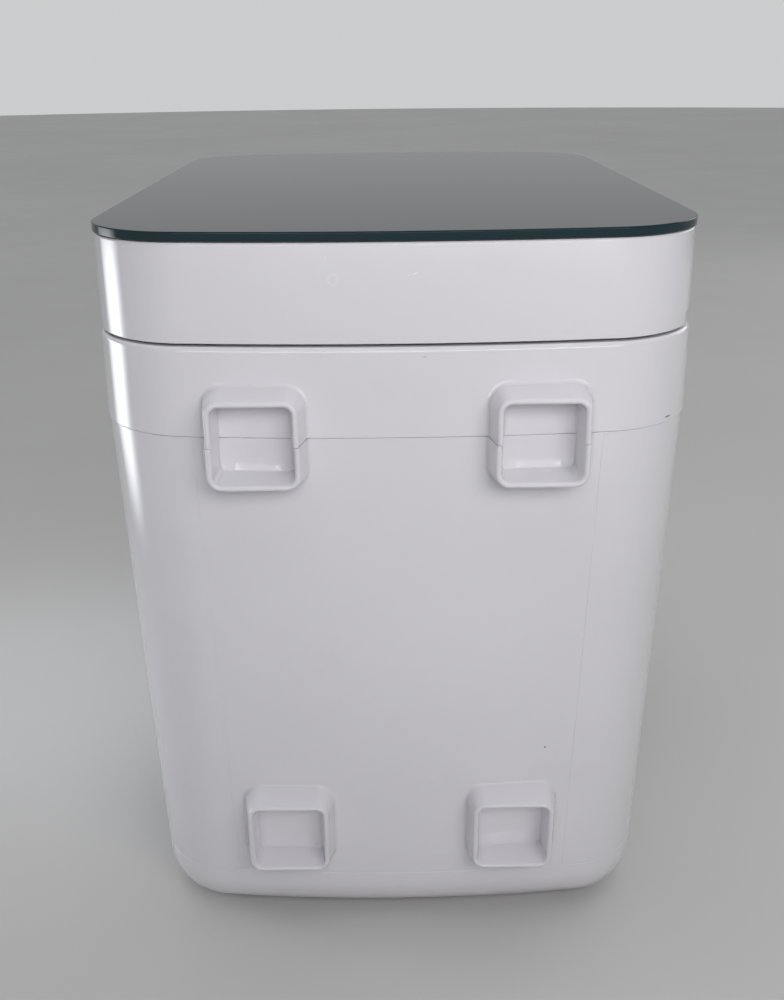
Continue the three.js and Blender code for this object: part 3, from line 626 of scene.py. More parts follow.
PRINT = moulded("button_marks", (0.16, 0.16, 0.18), 0.45, 700, 0.00001)
CERAMIC = moulded("ceramic", (0.55, 0.53, 0.48), 0.6, 600, 0.00003)
BLUE_SLEEVE = moulded("capacitor_sleeve", (0.02, 0.05, 0.2), 0.3, 500, 0.00001)
YELLOW_TAPE = moulded("winding_tape", (0.62, 0.42, 0.04), 0.4, 400, 0.00002)


# --- stand-off loops


def loop_section(reach):
    """A loop wall's section from its buried foot over the rim and back, (offset, depth)."""
    nose = LOOP_WALL / 2
    outer = LOOP_FLARE + LOOP_FILLET
    inner = -LOOP_WALL - LOOP_NARROWING - LOOP_INNER_FILLET
    points = [(outer, -LOOP_ROOT)]
    points += arc((outer, LOOP_FILLET), LOOP_FILLET, -90, -168, 6)
    points += arc((-nose, reach - nose), nose, 0, 180, 8)
    points += arc((inner, LOOP_INNER_FILLET), LOOP_INNER_FILLET, 0, -90, 4)
    points.append((inner, -LOOP_ROOT))
    return points


def loop(shape, side, inset_at, larger=0):
    """A hollow square loop whose foot follows the crowned end wall."""
    x, z, reach = side * shape["x"], shape["z"], shape["reach"]
    middle = end_wall(x, inset_at(z))
    slope = math.tan(shape["tilt"])
    turn = at(x, -middle, z) @ Matrix.Rotation(math.pi / 2 + shape["tilt"], 4, "X")
    rings = []
    for offset, depth in loop_section(reach):
        size = LOOP_SIZE + 2 * (offset + larger)
        follow = 1 - smoothstep(depth, 0.5, reach - 2.5)
        ring = []
        for point in rounded_ring(size, size, LOOP_CORNER + offset + larger, depth, 8):
            spot = turn @ Vector(point)
            wall = end_wall(spot.x, inset_at(spot.z))
            spot.y -= (wall - middle - slope * (spot.z - z)) * follow
            ring.append(spot)
        rings.append(ring)
    return skin(rings, looped=True)


def clipped(mesh, z, side):
    """The part of a loop above (side 1) or below (side -1) a level, its cut rims eased."""
    whole = mesh.verts[:] + mesh.edges[:] + mesh.faces[:]
    bmesh.ops.bisect_plane(mesh, geom=whole, plane_co=(0, 0, z), plane_no=(0, 0, -side),
                           clear_outer=True)
    rims = [edge for edge in mesh.edges if edge.is_boundary]
    bmesh.ops.holes_fill(mesh, edges=rims, sides=0)
    bmesh.ops.bevel(mesh, geom=rims, offset=0.3, segments=2, profile=0.5, affect="EDGES")
    return mesh


# --- outer shells


def make_glass():
    bottom = TOP_Z - GLASS_THICKNESS
    low = [(0.5 - x, bottom + 0.5 + y) for x, y in arc((0, 0), 0.5, 270, 360, 4)]
    high = [(0.6 - x, TOP_Z - 0.6 + y) for x, y in arc((0, 0), 0.6, 0, 90, 5)]
    piece("glass_pane", stack(low + high), GLASS, "lid", "smoked_glass", "glass_top", sharp=40)


def make_lid_shell():
    bottom, top = LID_Z + LID_GAP / 2, TOP_Z - GLASS_THICKNESS - GAP
    inset = LID_BOTTOM_INSET
    foot = [(inset + 0.5 - x, bottom + 0.5 + y, GRIP_DEPTH)
            for x, y in arc((0, 0), 0.5, 270, 360, 4)]
    shoulder = [(LID_TOP_INSET + 1 - x, top - 1 + y) for x, y in arc((0, 0), 1, 0, 90, 5)]
    shell = band([
        *foot,
        (inset, bottom + GRIP_HEIGHT - 0.8, GRIP_DEPTH * 0.13),
        (inset, bottom + GRIP_HEIGHT - 0.2, 0.06),
        (inset, bottom + GRIP_HEIGHT + 0.6),
        *shoulder,
        (14, top),
        (14, top - 2.5),
        (LID_TOP_INSET + 2.6, top - 2.5),
        (inset + 2.7, bottom + 10),
        (inset + 2.6, bottom + 4, 2),
        (inset + 2.6, bottom, 2),
    ])
    half = MIDDLE_KNUCKLE / 2
    for y in HINGE_YS:
        barrel = rod(HINGE_X, y, LID_Z, HINGE_RADIUS, MIDDLE_KNUCKLE)
        arm = block(HINGE_X - 2, y - half, LID_Z + 1, -128.8, y + half, LID_Z + 11, edge=0.6)
        shell = combined(combined(shell, arm, "UNION"), barrel, "UNION")
    holes = gathered(*[rod(HINGE_X, y, LID_Z, HOLE_RADIUS, 60) for y in HINGE_YS])
    shell = combined(shell, holes, "DIFFERENCE")
    piece("lid_shell", shell, WHITE, "lid", "white_shell", "lid_frame")


def make_lid_lining():
    top = TOP_Z - GLASS_THICKNESS - 2 * GAP - 2.5
    foot = arc((7, LID_Z + 4.7), 1, 180, 360, 6)
    lining = band([(12, top), (12, top - 2), (8, top - 2), *reversed(foot), (6, top - 2),
                   (4, top - 2), (4, top)])
    bmesh.ops.recalc_face_normals(lining, faces=lining.faces)
    piece("lid_lining", lining, INNER, "lid", "inner_plastic", "lid_liner")
    bulb = arc((7, LID_Z + 1.6), 1.55, -60, 240, 14)
    seal = band([(x, max(z, LID_Z - 0.2)) for x, z in bulb])
    bmesh.ops.recalc_face_normals(seal, faces=seal.faces)
    piece("lid_seal", seal, SILICONE, "lid", "silicone", "lid_gasket")


def make_collar():
    top, bottom = LID_Z - LID_GAP / 2, SEAM_Z + GAP
    lip = [(COLLAR_TOP_INSET + 1.35 - 1.35 * math.cos(a), top - 2.1 + 2.1 * math.sin(a),
            1 - math.cos(a)) for a in [math.radians(15 * i) for i in range(7)]]
    foot = [(COLLAR_BOTTOM_INSET + 0.3 - x, bottom + 0.3 + y)
            for x, y in arc((0, 0), 0.3, 270, 360, 3)]
    shell = band([
        *foot,
        *lip,
        (SHELF_INSET - 0.5, top),
        (SHELF_INSET, top - 0.5),
        (SHELF_INSET, top - 2.3),
        (COLLAR_TOP_INSET + 2.8, top - 2.3),
        (COLLAR_BOTTOM_INSET + 2.8, bottom + 4.7),
        (4.9, bottom + 2.7),
        (5.3, TONGUE_BOTTOM),
        (3.2, TONGUE_BOTTOM),
        (2.8, bottom),
    ])
    corners = corner_bosses()
    rooms = gathered(*posts(corners, TONGUE_BOTTOM - 10, bottom - 0.01, EAR["room"]))
    shell = combined(shell, rooms, "DIFFERENCE")
    bosses = gathered(*posts(corners, bottom, COLLAR_BOSS["top"], COLLAR_BOSS["radius"]))
    shell = combined(shell, bosses, "UNION")
    loops = gathered(*[clipped(loop(UPPER_LOOP, side, collar_inset), bottom, 1)
                       for side in (-1, 1)])
    shell = combined(shell, loops, "UNION")
    half = OUTER_KNUCKLE / 2
    reach = MIDDLE_KNUCKLE / 2 + half + KNUCKLE_GAP
    ys = [y + side * reach for y in HINGE_YS for side in (-1, 1)]
    arms = [block(HINGE_X - 2, y - half, LID_Z - 12, -129.4, y + half, LID_Z - 2, edge=0.6)
            for y in ys]
    shell = combined(shell, gathered(*arms), "UNION")
    barrels = gathered(*[rod(HINGE_X, y, LID_Z, HINGE_RADIUS, OUTER_KNUCKLE) for y in ys])
    shell = combined(shell, barrels, "UNION")
    holes = posts(corners, 255, 278, HOLE_RADIUS)
    holes += [rod(HINGE_X, y, LID_Z, HOLE_RADIUS, 60) for y in HINGE_YS]
    shell = combined(shell, gathered(*holes), "DIFFERENCE")
    piece("collar_shell", shell, WHITE, "base", "white_shell", "collar")


def tub_walls():
    """The drafted tub as one skin: up the outside, over the rim and down the inside."""
    outside = []
    for i in range(13):
        angle = math.radians(90 * (1 - i / 12))
        inset = tub_inset(ROUND_Z) + BOTTOM_RADIUS * (1 - math.cos(angle))
        outside.append((inset, ROUND_Z - BOTTOM_RADIUS * math.sin(angle)))
    for z, depth in ((-WITNESS_WIDTH / 2, 0), (0, WITNESS_DEPTH), (WITNESS_WIDTH / 2, 0)):
        outside.append((tub_inset(WITNESS_Z + z) + depth, WITNESS_Z + z))
    rim = [(tub_inset(SEAM_Z) + 0.3 - x, SEAM_Z - 0.3 + y) for x, y in arc((0, 0), 0.3, 0, 90, 3)]
    inner_radius = BOTTOM_RADIUS - WALL
    lowest = math.asin((ROUND_Z - LEDGE_TOP) / inner_radius)
    inside = [(tub_inset(SEAM_Z) + WALL, SEAM_Z)]
    for i in range(9):
        angle = lowest * i / 8
        inset = tub_inset(ROUND_Z) + WALL + inner_radius * (1 - math.cos(angle))
        inside.append((inset, ROUND_Z - inner_radius * math.sin(angle)))
    return stack(outside + rim + inside)


def witness_line(side):
    """A V-shaped notch where the mould's end insert met its body, leaning down the end wall."""
    rings = []
    for x, z in ((WITNESS_BOTTOM_X, WITNESS_Z), (WITNESS_TOP_X, SEAM_Z - 0.6)):
        y = -end_wall(x, tub_inset(z))
        half = WITNESS_WIDTH
        section = [(-half, -WITNESS_DEPTH), (0, WITNESS_DEPTH), (half, -WITNESS_DEPTH)]
        rings.append([(side * x + across, y + depth, z) for across, depth in section])
    notch = skin(rings)
    bmesh.ops.recalc_face_normals(notch, faces=notch.faces)
    return notch


def tub_cutters():
    through = WALL + 2
    slack = 2 * GAP
    rim = [(0, -through), (0, -0.35), (0.35, 0), (0.35, 5)]

    def round_hole(radius, matrix):
        profile = [(0, -through), (radius, -through), (radius, -0.35), (radius + 0.35, 0),
                   (radius + 0.35, 5), (0, 5)]
        return turned(profile, 40, matrix)

    window = wall_frame(1, 0, WINDOW_Z)
    inlet = wall_frame(-1, INLET_Y, INLET_Z)
    x, y = BASE_RECESS[0] / 2, BASE_RECESS[1] / 2
    ox, oy = BASE_OPENING[0] / 2, BASE_OPENING[1] / 2
    return [
        combined(block(-x, -y, 0, x, y, 5.5), block(-ox, -oy, 0, ox, oy, 10), "UNION"),
        *posts(corner_bosses(), EAR["bottom"] - 4, SEAM_Z + 2, HOLE_RADIUS),
        *posts(mirrored(*FLOOR_POST), 86, FLOOR_Z + 1, HOLE_RADIUS),
        *posts(mirrored(*BASE_SCREW), 5.6, 14.5, HOLE_RADIUS),
        plate(WINDOW_SIZE[0] + slack, WINDOW_SIZE[1] + slack, 4, rim, window),
        plate(INLET_SIZE[0] + slack, INLET_SIZE[1] + slack, 3, rim, inlet),
        *[round_hole(BUTTON_RADIUS + GAP, wall_frame(1, py, BUTTON_Z)) for py in BUTTON_YS],
        *[round_hole(OUTLET_HOLE, wall_frame(-1, py, OUTLET_Z)) for py in STATION_YS],
        *[witness_line(side) for side in (-1, 1)],
    ]


def make_tub():
    loops = [loop(LOWER_LOOP, side, tub_inset) for side in (-1, 1)]
    loops += [clipped(loop(UPPER_LOOP, side, tub_inset, LOOP_STEP), SEAM_Z, -1)
              for side in (-1, 1)]
    shell = combined(tub_walls(), gathered(*loops), "UNION")
    board = wall_frame(1, 0, WINDOW_Z)
    supports = posts(corner_bosses(), EAR["bottom"], SEAM_Z - GAP, EAR["radius"])
    supports += posts(mirrored(*FLOOR_POST), LEDGE_TOP - 1, FLOOR_Z - GAP, 5)
    supports += posts(mirrored(*BASE_SCREW), LEDGE_TOP - 1, 16, 4)
    supports += [post(u, v, -13.7, -1, 2.4, 20, board) for u in (-50.8, 50.8) for v in (17, -41)]
    shell = combined(shell, gathered(*supports), "UNION")
    shell = combined(shell, gathered(*tub_cutters()), "DIFFERENCE")
    piece("tub_shell", shell, WHITE, "base", "white_shell", "tub")


# --- hinge, screws and feet


def make_hinge_pins():
    half = MIDDLE_KNUCKLE / 2 + OUTER_KNUCKLE + KNUCKLE_GAP
    dome = arc((0, half - 0.6), 0.6, 0, 90, 4)
    side = [(PIN_RADIUS - 0.6 + x, z) for x, z in dome]
    profile = [(0, -half), *[(x, -z) for x, z in reversed(side)], *side, (0, half)]
    for i, y in enumerate(HINGE_YS, 1):
        pin = turned(profile, 32, lying(HINGE_X, y, LID_Z))
        piece(f"hinge_rod_{i}", pin, STEEL, "base", "steel", f"hinge_pin_{i}")


def screw(length, matrix):
    """A slotted pan-head screw about +Z with a coarse thread down its shank."""
    radius, height = SCREW_HEAD["radius"], SCREW_HEAD["height"]
    dome = [(x, height - 3.6 + z) for x, z in arc((0, 0), 3.6, 50, 90, 6)]
    head = [(min(x * radius / dome[0][0], radius), z) for x, z in dome[:-1]]
    crests = [(PIN_RADIUS - (0.32 if k % 2 else 0), -0.6 - THREAD_PITCH * k)
              for k in range(int((length - 1.6) / THREAD_PITCH))]
    profile = [(0, height), *reversed(head), (radius, 0.2), (radius - 0.2, 0), (PIN_RADIUS, 0),
               *crests, (0.3, -length), (0, -length)]
    solid = turned(profile, 28)
    solid = combined(solid, block(-2.2, -0.4, 1, 2.2, 0.4, 3), "DIFFERENCE")
    return placed(solid, matrix)


def make_screws():
    down = Matrix.Rotation(math.pi, 4, "X")
    sets = [
        ("collar", corner_bosses(), EAR["bottom"] - GAP, down),
        ("base", mirrored(*BASE_SCREW), BASE_PLATE_BOTTOM - GAP, down),
        ("floor", mirrored(*FLOOR_POST), FLOOR_TOP + GAP, Matrix.Identity(4)),
    ]
    for kind, places, z, turn in sets:
        for i, (x, y) in enumerate(places, 1):
            twist = Matrix.Rotation(0.7 * i, 4, "Z")
            solid = screw(SCREW_LENGTH[kind], at(x, y, z) @ turn @ twist)
            piece(f"{kind}_screw_fine_{i}", solid, SCREW_STEEL, "base", "screw_steel",
                  f"{kind}_screw_{i}")


def make_feet():
    ridges = [(r, 0.35 * (k % 2)) for k, r in enumerate((2.4, 3, 4.4, 5, 6.4, 7, 8.4, 9))]
    rim = [(FOOT_RADIUS - 1 + x, 1 + z) for x, z in arc((0, 0), 1, 270, 360, 4)]
    profile = [(0, 0), (2.2, 0), *ridges, *rim, (FOOT_RADIUS, 2.3), (FOOT_RADIUS - 0.4, 2.7),
               (FOOT_STEM, 2.7), (FOOT_STEM, 7), (FOOT_STEM - 0.6, 8), (0, 8)]
    for i, (x, y) in enumerate(mirrored(*FOOT), 1):
        piece(f"rubber_foot_{i}", turned(profile, 48, at(x, y, 0)), RUBBER, "base", "rubber",
              f"foot_{i}")


# --- rollers


def make_axles():
    half = AXLE_LENGTH / 2
    profile = [(0, -half), (AXLE_RADIUS - 0.6, -half), (AXLE_RADIUS, -half + 0.6),
               (AXLE_RADIUS, half - 0.6), (AXLE_RADIUS - 0.6, half), (0, half)]
    for side, name in ((1, "front"), (-1, "rear")):
        axle = turned(profile, 40, lying(side * AXLE_X, 0, AXLE_Z))
        piece(f"axle_rod_{name}", axle, STEEL, "base", "steel", f"axle_{name}")


def make_rollers():
    half, bore, outer = ROLLER_LENGTH / 2, AXLE_RADIUS + GAP, ROLLER_RADIUS
    grooves = []
    for z in GROOVE_ZS:
        grooves += [(outer, z - 1.1), (outer - 0.6, z - 0.7), (outer - 0.6, z + 0.7),
                    (outer, z + 1.1)]
    recess = 1.5
    profile = [(bore, -half + recess), (6.4, -half + recess), (6.8, -half), (outer - 0.8, -half),
               (outer, -half + 0.8), *grooves, (outer, half - 0.8), (outer - 0.8, half),
               (6.8, half), (6.4, half - recess), (bore, half - recess)]
    for side, name in ((1, "front"), (-1, "rear")):
        for i, y in enumerate(STATION_YS, 1):
            sleeve = turned(profile, 48, lying(side * AXLE_X, y, AXLE_Z))
            piece(f"{name}_roller_sleeve_{i}", sleeve, ROLLER, f"{name}_roller_{i}",
                  "roller_plastic", f"roller_{name}_{i}")


# --- drying pieces


def make_chamber():
    refined("chamber_deck", "chamber_floor", TRAY, "base", "tray_plastic", 0.45)
    refined("base_cover", "base_plate", INNER, "base", "inner_plastic", 0.4)
    refined("desiccant_cup", "desiccant_tray", TRAY, "cassette", "tray_plastic", 0.45)
    refined("desiccant_grille", "desiccant_lid", INNER, "cassette_lid", "inner_plastic", 0.35)
    refined("warm_air_duct", "heater_duct", FOLDED_STEEL, "base", "steel", 0.3)
    refined("humidity_probe", "humidity_sensor", BLACK, "base", "black_plastic", 0.5)


def make_fan_case():
    x, y, height = FAN["x"], FAN["y"], FAN["height"]
    low, top = BAY_Z, BAY_Z + height
    case = plate(FAN["width"], FAN["depth"], 8, softened(low, top, 1), at(x, y, 0))
    room = post(x, y, low + 2, top - 2, FAN["cavity"], 72)
    inner, outer = FAN["mouth"], FAN["mouth"] + 1
    mouth = turned([(0, top - 4), (inner, top - 4), (inner, top - 1), (outer, top),
                    (outer, top + 2), (0, top + 2)], 60, at(x, y, 0))
    outlet = block(x, y + 4, low + 3, x + FAN["width"], y + FAN["cavity"] - 1, top - 3)
    for tool in (room, mouth, outlet):
        case = combined(case, tool, "DIFFERENCE")
    piece("fan_case", case, BLACK, "base", "black_plastic", "fan_housing")


def make_fan_wheel():
    base, high = BAY_Z + 3.5, BAY_Z + FAN["height"] - 5
    disc, hub, count = ROTOR["disc"], ROTOR["hub"], ROTOR["vanes"]
    axis = at(FAN["x"], FAN["y"], 0)
    core = turned([(0, base), (disc - 1, base), (disc, base + 0.6), (disc, base + 1.4),
                   (disc - 1, base + 2), (hub + 1, base + 2), (hub, base + 3), (hub, high - 4),
                   (hub - 2, high - 2.4), (6, high - 2), (0, high - 2)], 64, axis)
    half, bow, thickness = 6.3, 0.9, 0.9
    across = [half * (1 - i / 3) for i in range(7)]
    front = [(x, bow * (1 - (x / half) ** 2) - 0.1) for x in across]
    section = front + [(x, y - thickness) for x, y in reversed(front)]
    lean = at(ROTOR["vane_radius"], 0, 0) @ Matrix.Rotation(ROTOR["vane_lean"], 4, "Z")
    vanes = []
    for i in range(count):
        turn = axis @ Matrix.Rotation(2 * math.pi * i / count, 4, "Z")
        vane = skin([[(x, y, z) for x, y in section] for z in (base + 1, high)])
        vanes.append(placed(vane, turn @ lean))
    piece("fan_wheel", gathered(core, *vanes), BLACK, "fan", "black_plastic", "fan_rotor")


def make_heater():
    """A finned core: ceramic bars between corrugated aluminium strips."""
    (x0, x1), (y0, y1) = DUCT["x"], DUCT["y"]
    x0, x1, y0, y1 = x0 + 2.6, x1 - 2.6, y0 + 2.6, y1 - 2.6
    z0, z1 = HEATER_Z
    parts = [block(x, y0, z0, x + 3, y1, z1, edge=0.3) for x in (x0, x1 - 3)]
    bars = 5
    pitch = (y1 - y0 - 4) / (bars - 1)
    for i in range(bars):
        y = y0 + 2 + i * pitch
        bar = block(x0 + 2.8, y - 1.6, z0 + 1, x1 - 2.8, y + 1.6, z1 - 1, edge=0.2)
        parts.append(painted(bar, 1))
    fold = 2.2
    count = int((x1 - x0 - 7) / fold)
    for i in range(bars - 1):
        ya, yb = y0 + 2 + i * pitch + 1.5, y0 + 2 + (i + 1) * pitch - 1.5
        line = [(x0 + 3.4 + k * fold, ya if k % 2 else yb) for k in range(count + 1)]
        ring = [(x - 0.12, y) for x, y in line] + [(x + 0.12, y) for x, y in reversed(line)]
        parts.append(skin([[(x, y, z) for x, y in ring] for z in (z0 + 0.6, z1 - 0.6)]))
    mesh = gathered(*parts)
    bmesh.ops.recalc_face_normals(mesh, faces=mesh.faces)
    piece("heater_block", mesh, [ALUMINIUM, CERAMIC], "base", "heater_aluminium", "heater_core")


# --- electronics


def chip(x, y, z, width, depth, height, index, matrix=None):
    return painted(block(x - width / 2, y - depth / 2, z, x + width / 2, y + depth / 2,
                         z + height, matrix, edge=0.25), index)


def can(x, y, z, radius, height, matrix=None):
    """A capacitor: a sleeve with a rolled foot and a scored metal top."""
    top = z + height
    sleeve = turned([(0, z), (radius, z), (radius, z + 1), (radius - 0.4, z + 1.6),
                     (radius, z + 2.2), (radius, top - 0.8), (radius - 0.8, top - 0.1),
                     (0, top - 0.1)], 32, at(x, y, 0))
    lid = turned([(0, top - 0.3), (radius - 1.4, top - 0.3), (radius - 1.6, top), (0, top)], 32,
                 at(x, y, 0))
    whole = gathered(painted(sleeve, 3), painted(lid, 2))
    return placed(whole, matrix) if matrix else whole


def make_power_board():
    x, y = POWER_BOARD
    top = BAY_Z + 1.6
    parts = [
        plate(130, 80, 2, softened(BAY_Z, top, 0.3), at(x, y, 0)),
        painted(block(x - 20, y - 30, top, x + 14, y, top + 6, edge=0.5), 1),
        painted(block(x - 17, y - 26, top + 6, x + 11, y - 4, top + 20, edge=1.5), 4),
        painted(block(x - 20, y - 30, top + 20, x + 14, y, top + 26, edge=0.5), 1),
        can(x - 42, y + 14, top, 9, 24),
        can(x - 42, y - 14, top, 9, 24),
        painted(block(x - 10, y + 12, top, x + 18, y + 24, top + 14, edge=0.6), 1),
    ]
    for k in range(6):
        z = top + 0.5 + k * 4
        parts.append(painted(block(x + 30, y - 32, z, x + 34, y + 30, z + 3.2, edge=0.3), 2))
    parts.append(painted(block(x + 31.4, y - 32, top, x + 32.6, y + 30, top + 24), 2))
    for k in range(4):
        parts.append(chip(x + 44, y - 22 + 13 * k, top, 9, 6, 3, 1))
        parts.append(chip(x - 58 + 4 * k, y + 32, top, 2, 5, 4, 1))
    materials = [BOARD, BLACK, STEEL, BLUE_SLEEVE, YELLOW_TAPE]
    piece("power_circuit", gathered(*parts), materials, "base", "circuit_board", "power_board")


def make_control_board():
    wall = wall_frame(1, 0, WINDOW_Z)
    face = -14
    drop = BUTTON_Z - WINDOW_Z
    parts = [plate(108, 66, 2, softened(face - 1.6, face, 0.3), wall @ at(0, -12, 0)),
             chip(-14, 3, face - 5, 22, 16, 3.5, 1, wall),
             chip(16, 4, face - 4, 14, 12, 2.5, 1, wall),
             chip(0, -3, face - 3.2, 6, 4, 1.8, 1, wall)]
    for y in BUTTON_YS:
        parts.append(chip(y, drop, face, 6, 6, 1.2, 2, wall))
        parts.append(painted(post(y, drop, face + 1.1, face + 1.6, 1.6, 24, wall), 1))
    for u in (-44, -40, -36, 36, 40, 44):
        parts.append(chip(u, -20, face - 2, 2, 1.2, 0.9, 1, wall))
    piece("control_circuit", gathered(*parts), [BOARD, BLACK, STEEL], "base", "circuit_board",
          "control_board")


def make_display():
    wall = wall_frame(1, 0, WINDOW_Z)
    width, height = WINDOW_SIZE
    pane = plate(width, height, 4, softened(-2.2, 0, 0.35), wall)
    piece("display_cover", pane, WINDOW, "base", "smoked_window", "display_window")
    refined("display_carrier", "display_module", BLACK, "base", "black_plastic", 0.3)


def make_buttons():
    """Keys with raised generic marks: a bar, a ring with a bar, and a cross."""
    radius, proud = BUTTON_RADIUS, 1
    face = proud - 0.18
    rim = [(radius - 0.7 + x, face - 0.7 + z) for x, z in arc((0, 0), 0.7, 0, 90, 5)]
    profile = [(0, -10.5), (2, -10.5), (2, -4.4), (radius + 1.6, -4.4), (radius + 1.6, -3.2),
               (radius, -3.2), *rim, (0, face)]
    bar = (1.9, 0.32)
    ring = [(1.35, face - 0.1), (2.0, face - 0.1), (2.0, proud), (1.35, proud)]

    def line(across):
        x, y = bar if across else bar[::-1]
        return painted(block(-x, -y, face - 0.1, x, y, proud, edge=0.06), 1)

    marks = {
        "down": [line(True)],
        "power": [painted(turned(ring, 40), 1),
                  painted(block(-0.3, 0.4, face - 0.1, 0.3, 2.9, proud, edge=0.06), 1)],
        "up": [line(True), line(False)],
    }
    for (name, signs), y in zip(marks.items(), BUTTON_YS):
        key = placed(gathered(turned(profile, 56), *signs), wall_frame(1, y, BUTTON_Z))
        piece(f"key_{name}", key, [BUTTON, PRINT], f"key_{name}", "button_plastic",
              f"button_{name}")


def make_power_inlet():
    width, height = INLET_SIZE
    wall = wall_frame(-1, INLET_Y, INLET_Z)
    flange = plate(width + 8, height + 8, 4, softened(GAP, 2, 0.5), wall)
    body = plate(width, height, 3, [(0, -24), (0, 1)], wall)
    shell = combined(flange, body, "UNION")
    mouth = plate(width - 8, height - 7, 2, [(0, -21.5), (0, 1.4), (0.6, 2), (0.6, 5)], wall)
    shell = combined(shell, mouth, "DIFFERENCE")
    blades = []
    for i, x in enumerate((-12, 0, 12)):
        y = 3 if i == 1 else -1.5
        blades.append(painted(block(x - 1, y - 2.5, -22, x + 1, y + 2.5, -7, wall, edge=0.3), 1))
    piece("mains_inlet", gathered(shell, *blades), [BLACK, STEEL], "base", "black_plastic",
          "power_inlet")


def make_grommets():
    neck = OUTLET_HOLE - GAP
    lip = arc((OUTLET_BORE + 1.6, 0.9), 1.3, 90, 180, 5)
    profile = [(OUTLET_BORE, -5.5), (neck + 1.4, -4.7), (neck + 1.6, -4.3), (neck + 1.6, -2.8),
               (neck, -2.8), (neck, 0.3), (neck + 2.6, 0.3), (neck + 2.5, 1.4),
               (neck + 1.9, 2.2), *lip]
    for i, y in enumerate(STATION_YS, 1):
        piece(f"filament_grommet_{i}", turned(profile, 48, wall_frame(-1, y, OUTLET_Z)), RUBBER,
              "base", "rubber", f"outlet_grommet_{i}")


# --- studio

CAMERA = (-0.00153, -0.6305, 0.41135)
BACKDROP = (0.60, 0.605, 0.61)
SKY = (0.95, 0.97, 1.0)
BRIGHT_SIDE = (-0.3, 0.93, 0.2)
ROOM_LEVEL = (0.1, 0.85, 0.12, 0.43)


def make_floor():
    finish = Finish("pale_floor")
    tone = finish.ramp(finish.noise(1.3, 3), 0.3, 0.7)
    finish.set("Base Color", finish.mix(tone, (0.56, 0.555, 0.55), (0.61, 0.605, 0.60)))
    finish.set("Roughness", finish.ramp(finish.noise(9, 4), 0.3, 0.7, 0.5, 0.65))
    mesh = bmesh.new()
    bmesh.ops.create_circle(mesh, cap_ends=True, radius=9, segments=96)
    data = baked("studio_floor", mesh)
    data.materials.append(finish.material)
    linked("studio_floor", data)


def make_camera():
    """Looks down along +Y at the end with the loops."""
    pitch, yaw, roll = 0.377, 0.0061, -0.0103
    forward = Vector((math.sin(yaw) * math.cos(pitch), math.cos(yaw) * math.cos(pitch),
                      -math.sin(pitch)))
    level = Vector((math.cos(yaw), -math.sin(yaw), 0))
    right = Matrix.Rotation(-roll, 3, forward) @ level
    lens = bpy.data.cameras.new("camera")
    lens.sensor_width = 36
    lens.lens = 40.556
    lens.clip_start, lens.clip_end = 0.01, 50
    camera = linked("camera", lens)
    turn = Matrix((right, right.cross(forward), -forward)).transposed()
    camera.matrix_world = Matrix.Translation(CAMERA) @ turn.to_4x4()
    bpy.context.scene.camera = camera


def soft_light(name, place, target, size, power, colour=(1, 1, 1), spread=180):
    data = bpy.data.lights.new(name, "AREA")
    data.spread = math.radians(spread)
    data.shape = "RECTANGLE"
    data.size, data.size_y = size
    data.energy = power
    data.color = colour
    light = linked(name, data)
    light.location = place
    light.visible_camera = False
    aim = Vector(target) - Vector(place)
    light.rotation_mode = "QUATERNION"
    light.rotation_quaternion = aim.to_track_quat("-Z", "Y")
    return light


def feather(light):
    """Fades an area light out towards its rim, so that its reflection has soft edges."""
    light.data.use_nodes = True
    tree = Tree(light.data.node_tree)
    place = tree.add("ShaderNodeNewGeometry").outputs["Parametric"]
    across = tree.add("ShaderNodeSeparateXYZ", {0: place})
    fades = []
    for axis in (0, 1):
        offset = tree.maths("PINGPONG", across.outputs[axis], 0.5)
        fade = tree.add("ShaderNodeMapRange", {"Value": offset, "From Max": 0.3},
                        interpolation_type="SMOOTHSTEP")
        fades.append(fade.outputs[0])
    tree.fill(tree.tree.nodes["Emission"].inputs["Strength"], tree.maths("MULTIPLY", *fades))


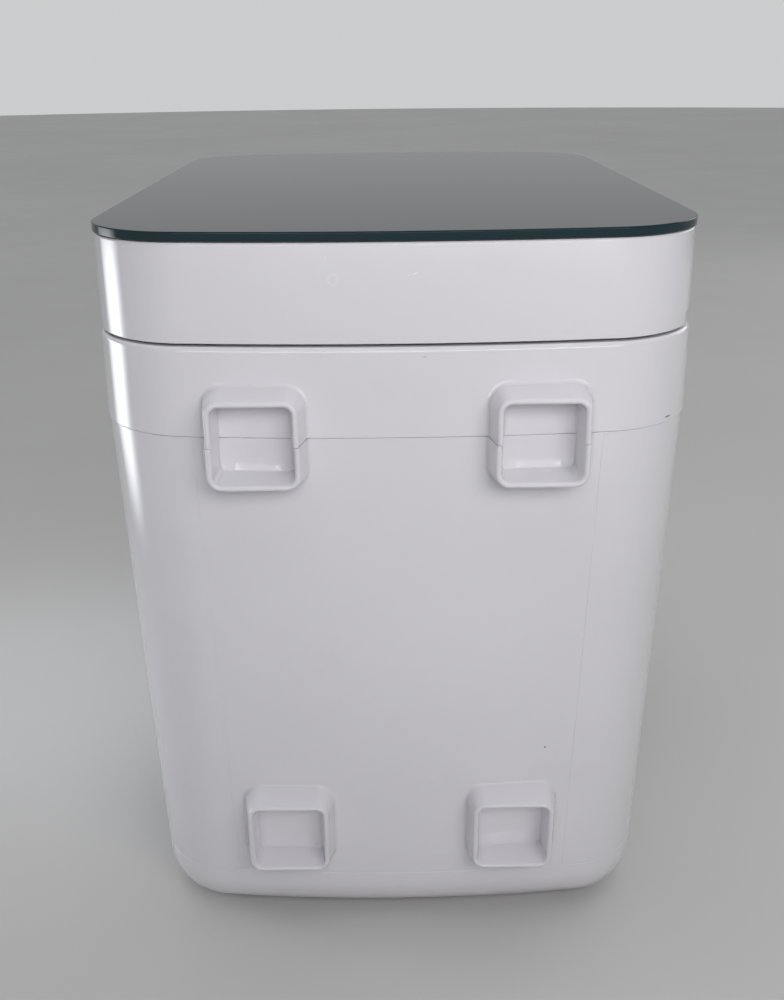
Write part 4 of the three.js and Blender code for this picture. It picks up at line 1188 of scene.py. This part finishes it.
def make_skylight():
    """Even light from above, which the glass top does not mirror."""
    data = bpy.data.lights.new("skylight", "SUN")
    data.energy = 0.85
    data.angle = math.radians(70)
    light = linked("skylight", data)
    light.rotation_euler = (math.radians(-6), math.radians(4), 0)
    light.visible_glossy = False


def make_room_light():
    """Dim light from all round, brighter from behind and the left, before a pale backdrop."""
    world = bpy.data.worlds.new("studio")
    world.use_nodes = True
    tree = Tree(world.node_tree)
    direction = tree.add("ShaderNodeTexCoord").outputs["Generated"]
    facing = tree.add("ShaderNodeVectorMath", {0: direction, 1: BRIGHT_SIDE},
                      operation="DOT_PRODUCT")
    sky = tree.tree.nodes["Background"]
    tree.fill(sky.inputs["Color"], SKY)
    tree.fill(sky.inputs["Strength"], tree.ramp(facing.outputs["Value"], *ROOM_LEVEL))
    backdrop = tree.add("ShaderNodeBackground", {"Color": BACKDROP})
    seen = tree.add("ShaderNodeLightPath").outputs["Is Camera Ray"]
    choice = tree.add("ShaderNodeMixShader", {0: seen, 1: sky.outputs[0], 2: backdrop.outputs[0]})
    tree.fill(tree.tree.nodes["World Output"].inputs["Surface"], choice.outputs[0])
    bpy.context.scene.world = world


def make_light():
    make_room_light()
    make_skylight()
    strip = soft_light("strip_left", (-0.52, 0.05, 0.17), (0, 0.05, 0.17), (0.42, 0.34), 0.75,
                       (0.93, 0.97, 1.0), 80)
    feather(strip)
    soft_light("back_right", (1.6, 1.1, 0.9), (0, 0, 0.2), (1.2, 1.2), 5)
    key = soft_light("key", (0.2, -0.85, 0.62), (0.07, -0.19, 0.38), (0.8, 0.36), 1.6,
                     (1.0, 0.99, 0.98), 100)
    key.visible_glossy = False
    glint = soft_light("glint", (0.05, -0.86, 0.3), (0, -0.19, 0.28), (0.9, 0.05), 1.2)
    glint.visible_diffuse = False
    bpy.context.scene.view_settings.view_transform = "Standard"


# --- the whole

make_camera()
make_light()
make_floor()
make_glass()
make_lid_shell()
make_lid_lining()
make_collar()
make_tub()
make_hinge_pins()
make_screws()
make_feet()
make_axles()
make_rollers()
make_chamber()
make_fan_case()
make_fan_wheel()
make_heater()
make_power_board()
make_control_board()
make_display()
make_buttons()
make_power_inlet()
make_grommets()
